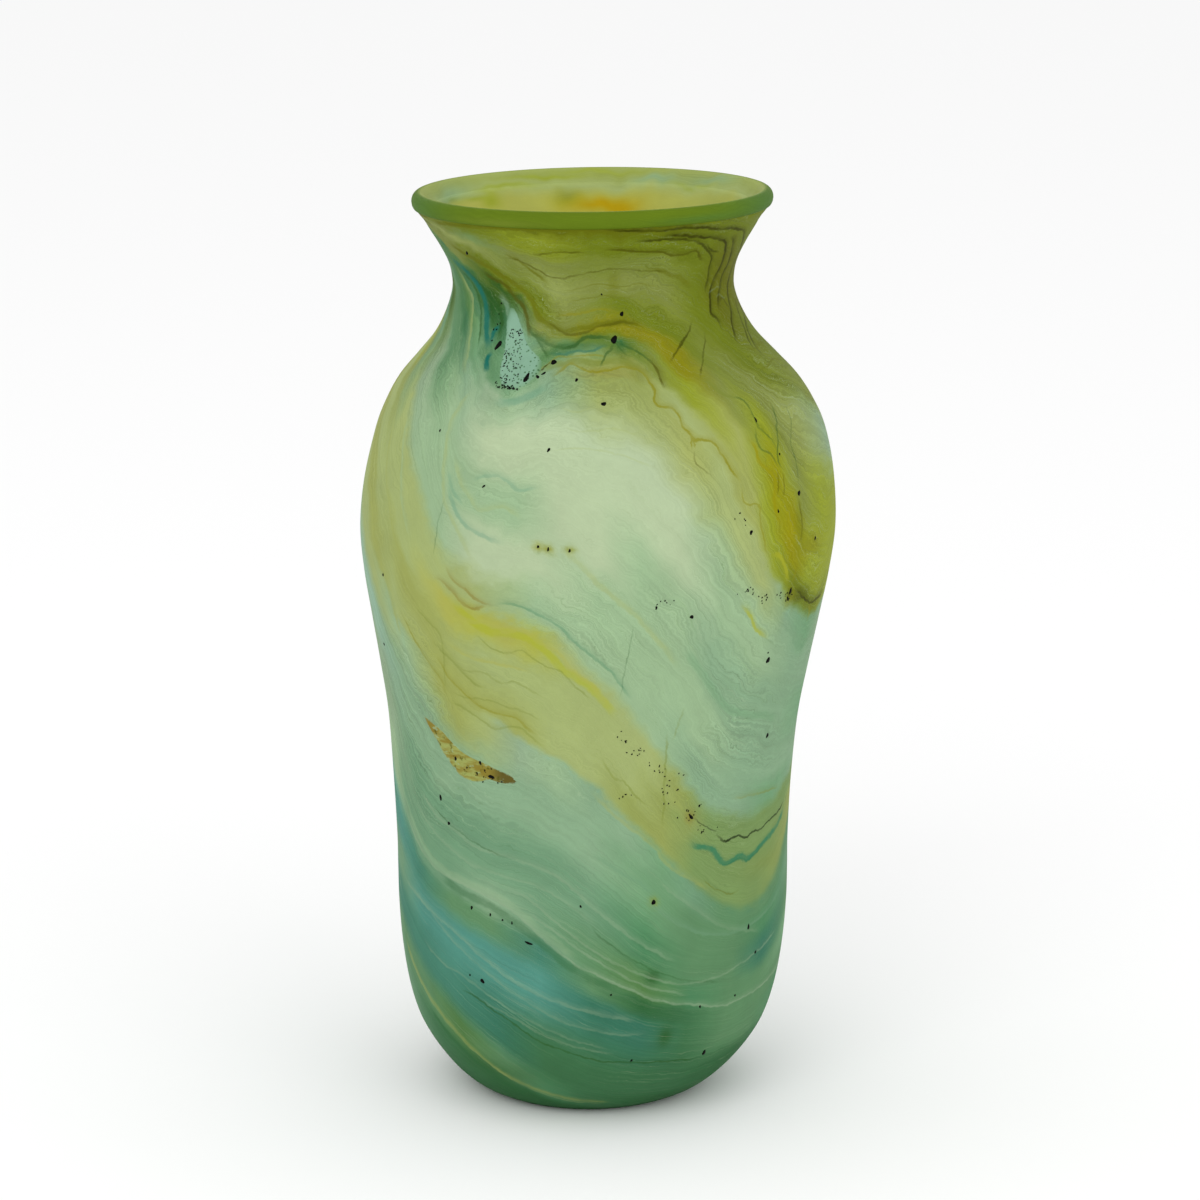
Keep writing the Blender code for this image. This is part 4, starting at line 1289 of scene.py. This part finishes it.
def inside_tint(azimuth, height):
    """The pale inner wall's colours, with its own pools and a painted glow, lightened by painted light, and
    its level. Heights in mm.
    """
    places = true_place(azimuth, np.clip(height, 0, 270))
    rise = height + 0.9 * ripple(places, 24, 31) + 0.4 * ripple(places, 8, 32)
    heights, glasses = zip(*INSIDE)
    tints = np.array([GLASS[glass] for glass in glasses], float)
    tint = np.stack([np.interp(rise, heights, tints[:, c]) for c in range(3)], axis=-1)
    # the tint is lightened by painted light, for the shade inside the mouth
    return INSIDE_PAINTED_LIGHT * paint_pools(azimuth, rise, tint, INSIDE_POOLS), rise / 3 + azimuth / 60


def paint(mesh, tint, level):
    set_attribute(mesh, "pattern", "FLOAT_COLOR", np.c_[linear(tint), np.ones(len(tint))])
    set_attribute(mesh, "level", "FLOAT", level)


def make_gather():
    outline = section("inner_gather")
    corner = int(np.argmax(outline[:, 1] > outline[:, 1].max() - 1e-6))
    on = outline[corner] - outline[corner - 1]
    on = outline[corner] + LET_IN * on / np.linalg.norm(on) + np.array([0.12 * MM, 0])
    profile = smooth_path(np.insert(outline, corner + 1, on, axis=0), 1.2 * MM)
    keep = (profile[:, 1] > 0.246) | (np.arange(len(profile)) % 5 == 0)
    keep[-1] = True
    piece, azimuth, _, height = sheet_mesh("gather", profile[keep], 240, False)
    paint(piece.data, *inside_tint(azimuth, height / MM))
    finish_piece(piece, marbled("opaline_satin", False), "opaline_glass", "inner_gather")


def make_lip():
    """The lip's ring. Its inner side slopes on into the wall."""
    outline = smooth_path(np.array(LIP + LIP[:1]) * MM, 0.5 * MM)[:-1]
    piece, azimuth, radius, height = sheet_mesh("lip", outline, 360, True)
    height = height / MM
    plain_rind = np.tile(np.array(GLASS["rind"], float), (len(azimuth), 1))
    tint = paint_pools(azimuth, height, plain_rind, LIP_POOLS)
    # the inner side takes the inner wall's colours, with their painted light and painted glow
    within, level = inside_tint(azimuth, height)
    inner = (smoothstep(51.0, 49.3, radius / MM) * smoothstep(264.0, 266.0, height))[:, None]
    inner = np.maximum(inner, smoothstep(46.6, 46.0, radius / MM)[:, None])
    paint(piece.data, tint * (1 - inner) + within * inner, level)
    finish_piece(piece, marbled("olive_satin", False), "olive_glass", "lip_wrap")


def make_pontil():
    outline = section("pontil_seal")
    piece, _, _, _ = sheet_mesh("pontil", smooth_path(outline, 0.8 * MM), 96, False)
    finish_piece(piece, plain("clear_green_satin", "fern", "sea", 0.35), "clear_green_glass", "pontil_seal")


def make_seeds():
    """All the black seeds, and the pits of the turquoise shard, in one mesh."""
    random = np.random.default_rng(SEED)
    lenses = [seed_lens(*seed) for seed in SEEDS]
    low = smoothstep(0, 1, random.random(PITS)) ** 1.6
    for share in low:
        height = 219.8 + 15 * share
        azimuth = random.uniform(-33.4 - 0.1 * share, -24.0 - 4 * share)
        size = random.uniform(*PIT_SIZES)
        long = size * random.uniform(1, 1.7)
        lenses.append(seed_lens(azimuth, height, long, size, random.uniform(0, 180)))
    for azimuth, height, wide, tall, count in DOTS:
        for _ in range(count):
            spot = azimuth + wide * random.normal() * 0.6, height + tall * random.normal() * 0.6
            size = random.uniform(*PIT_SIZES)
            long = size * random.uniform(1, 1.8)
            lenses.append(seed_lens(*spot, long, size, random.uniform(0, 180)))
    piece = joined("seeds", lenses)
    finish_piece(piece, black(), "marbled_glass")


def melt(mesh, edge, hub, firm):
    """Gives a shard the casing's colours, and in alpha how far each place is the shard's own."""
    places = np.array([vertex.co for vertex in mesh.vertices]) / MM
    azimuth = np.degrees(np.arctan2(places[:, 0], -places[:, 1]))
    height = places[:, 2]
    _, around = flow(azimuth, height)
    around = paint_pools(azimuth, height, around)
    ring = np.array(edge, float) - hub
    turns = np.degrees(np.arctan2(ring[:, 1], ring[:, 0]))
    order = np.argsort(turns)
    own = np.degrees(np.arctan2(height - hub[1], azimuth - hub[0]))
    reach = np.interp(own, turns[order], np.hypot(*ring.T)[order], period=360)
    out = np.hypot(azimuth - hub[0], height - hub[1]) / reach
    share = smoothstep(1.0, firm, out)
    set_attribute(mesh, "pattern", "FLOAT_COLOR", np.c_[linear(around), share])


def make_shards():
    piece = joined("amber_fleck", [patch_lens(AMBER_EDGE, AMBER_HUB, 9, 0.10 * MM)])
    melt(piece.data, AMBER_EDGE, AMBER_HUB, 0.5)
    finish_piece(piece, amber(), "amber_glass", "amber_shard")
    piece = joined("turquoise_fleck", [patch_lens(TEAL_EDGE, TEAL_HUB, 9, 0.08 * MM)])
    melt(piece.data, TEAL_EDGE, TEAL_HUB, 0.7)
    finish_piece(piece, turquoise(), "turquoise_glass", "teal_shard")


make_overlay()
make_gather()
make_lip()
make_pontil()
make_shards()
make_seeds()


# ---------------------------------------------------------------- stage, light and camera


# The lights point at the middle of the vase
MIDDLE = Vector((0, 0, 0.14))


def make_floor():
    bpy.ops.mesh.primitive_plane_add(size=8.0, location=(0, 0, 0))
    floor = bpy.context.object
    floor.name = "floor"
    paper = bpy.data.materials.new("paper")
    paper.use_nodes = True
    shader = paper.node_tree.nodes["Principled BSDF"]
    shader.inputs["Base Color"].default_value = (0.93, 0.93, 0.93, 1)
    shader.inputs["Roughness"].default_value = 0.9
    shader.inputs["Specular IOR Level"].default_value = 0.0
    floor.data.materials.append(paper)


def make_light(name, place, size, power):
    lamp = bpy.data.lights.new(name, "AREA")
    lamp.shape = "DISK"
    lamp.size = size
    lamp.energy = power
    light = bpy.data.objects.new(name, lamp)
    light.location = place
    aim = MIDDLE - Vector(place)
    light.rotation_euler = aim.to_track_quat("-Z", "Y").to_euler()
    bpy.context.scene.collection.objects.link(light)


def make_world(strength):
    world = bpy.data.worlds.new("studio")
    world.use_nodes = True
    sky = world.node_tree.nodes["Background"]
    sky.inputs["Color"].default_value = (1, 1, 1, 1)
    sky.inputs["Strength"].default_value = strength
    bpy.context.scene.world = world


# The photo's camera, fitted to the vase's silhouette: its place in metres, its tilt from
# straight down in degrees, and its lens and sensor in mm
CAMERA_PLACE = (0.0016, -1.2, 0.4258)
CAMERA_TILT = 76.954
CAMERA_LENS = 124.82
CAMERA_SENSOR = 36


def make_camera():
    lens = bpy.data.cameras.new("camera")
    lens.lens = CAMERA_LENS
    lens.sensor_width = CAMERA_SENSOR
    camera = bpy.data.objects.new("camera", lens)
    camera.location = CAMERA_PLACE
    camera.rotation_euler = (math.radians(CAMERA_TILT), 0, 0)
    bpy.context.scene.collection.objects.link(camera)
    bpy.context.scene.camera = camera


make_floor()
make_light("key", (-0.7, -1.8, 1.5), 1.6, 11)
make_light("fill", (1.2, -1.5, 0.9), 1.6, 5)
make_world(1.0)
make_camera()
bpy.context.scene.view_settings.view_transform = "Standard"
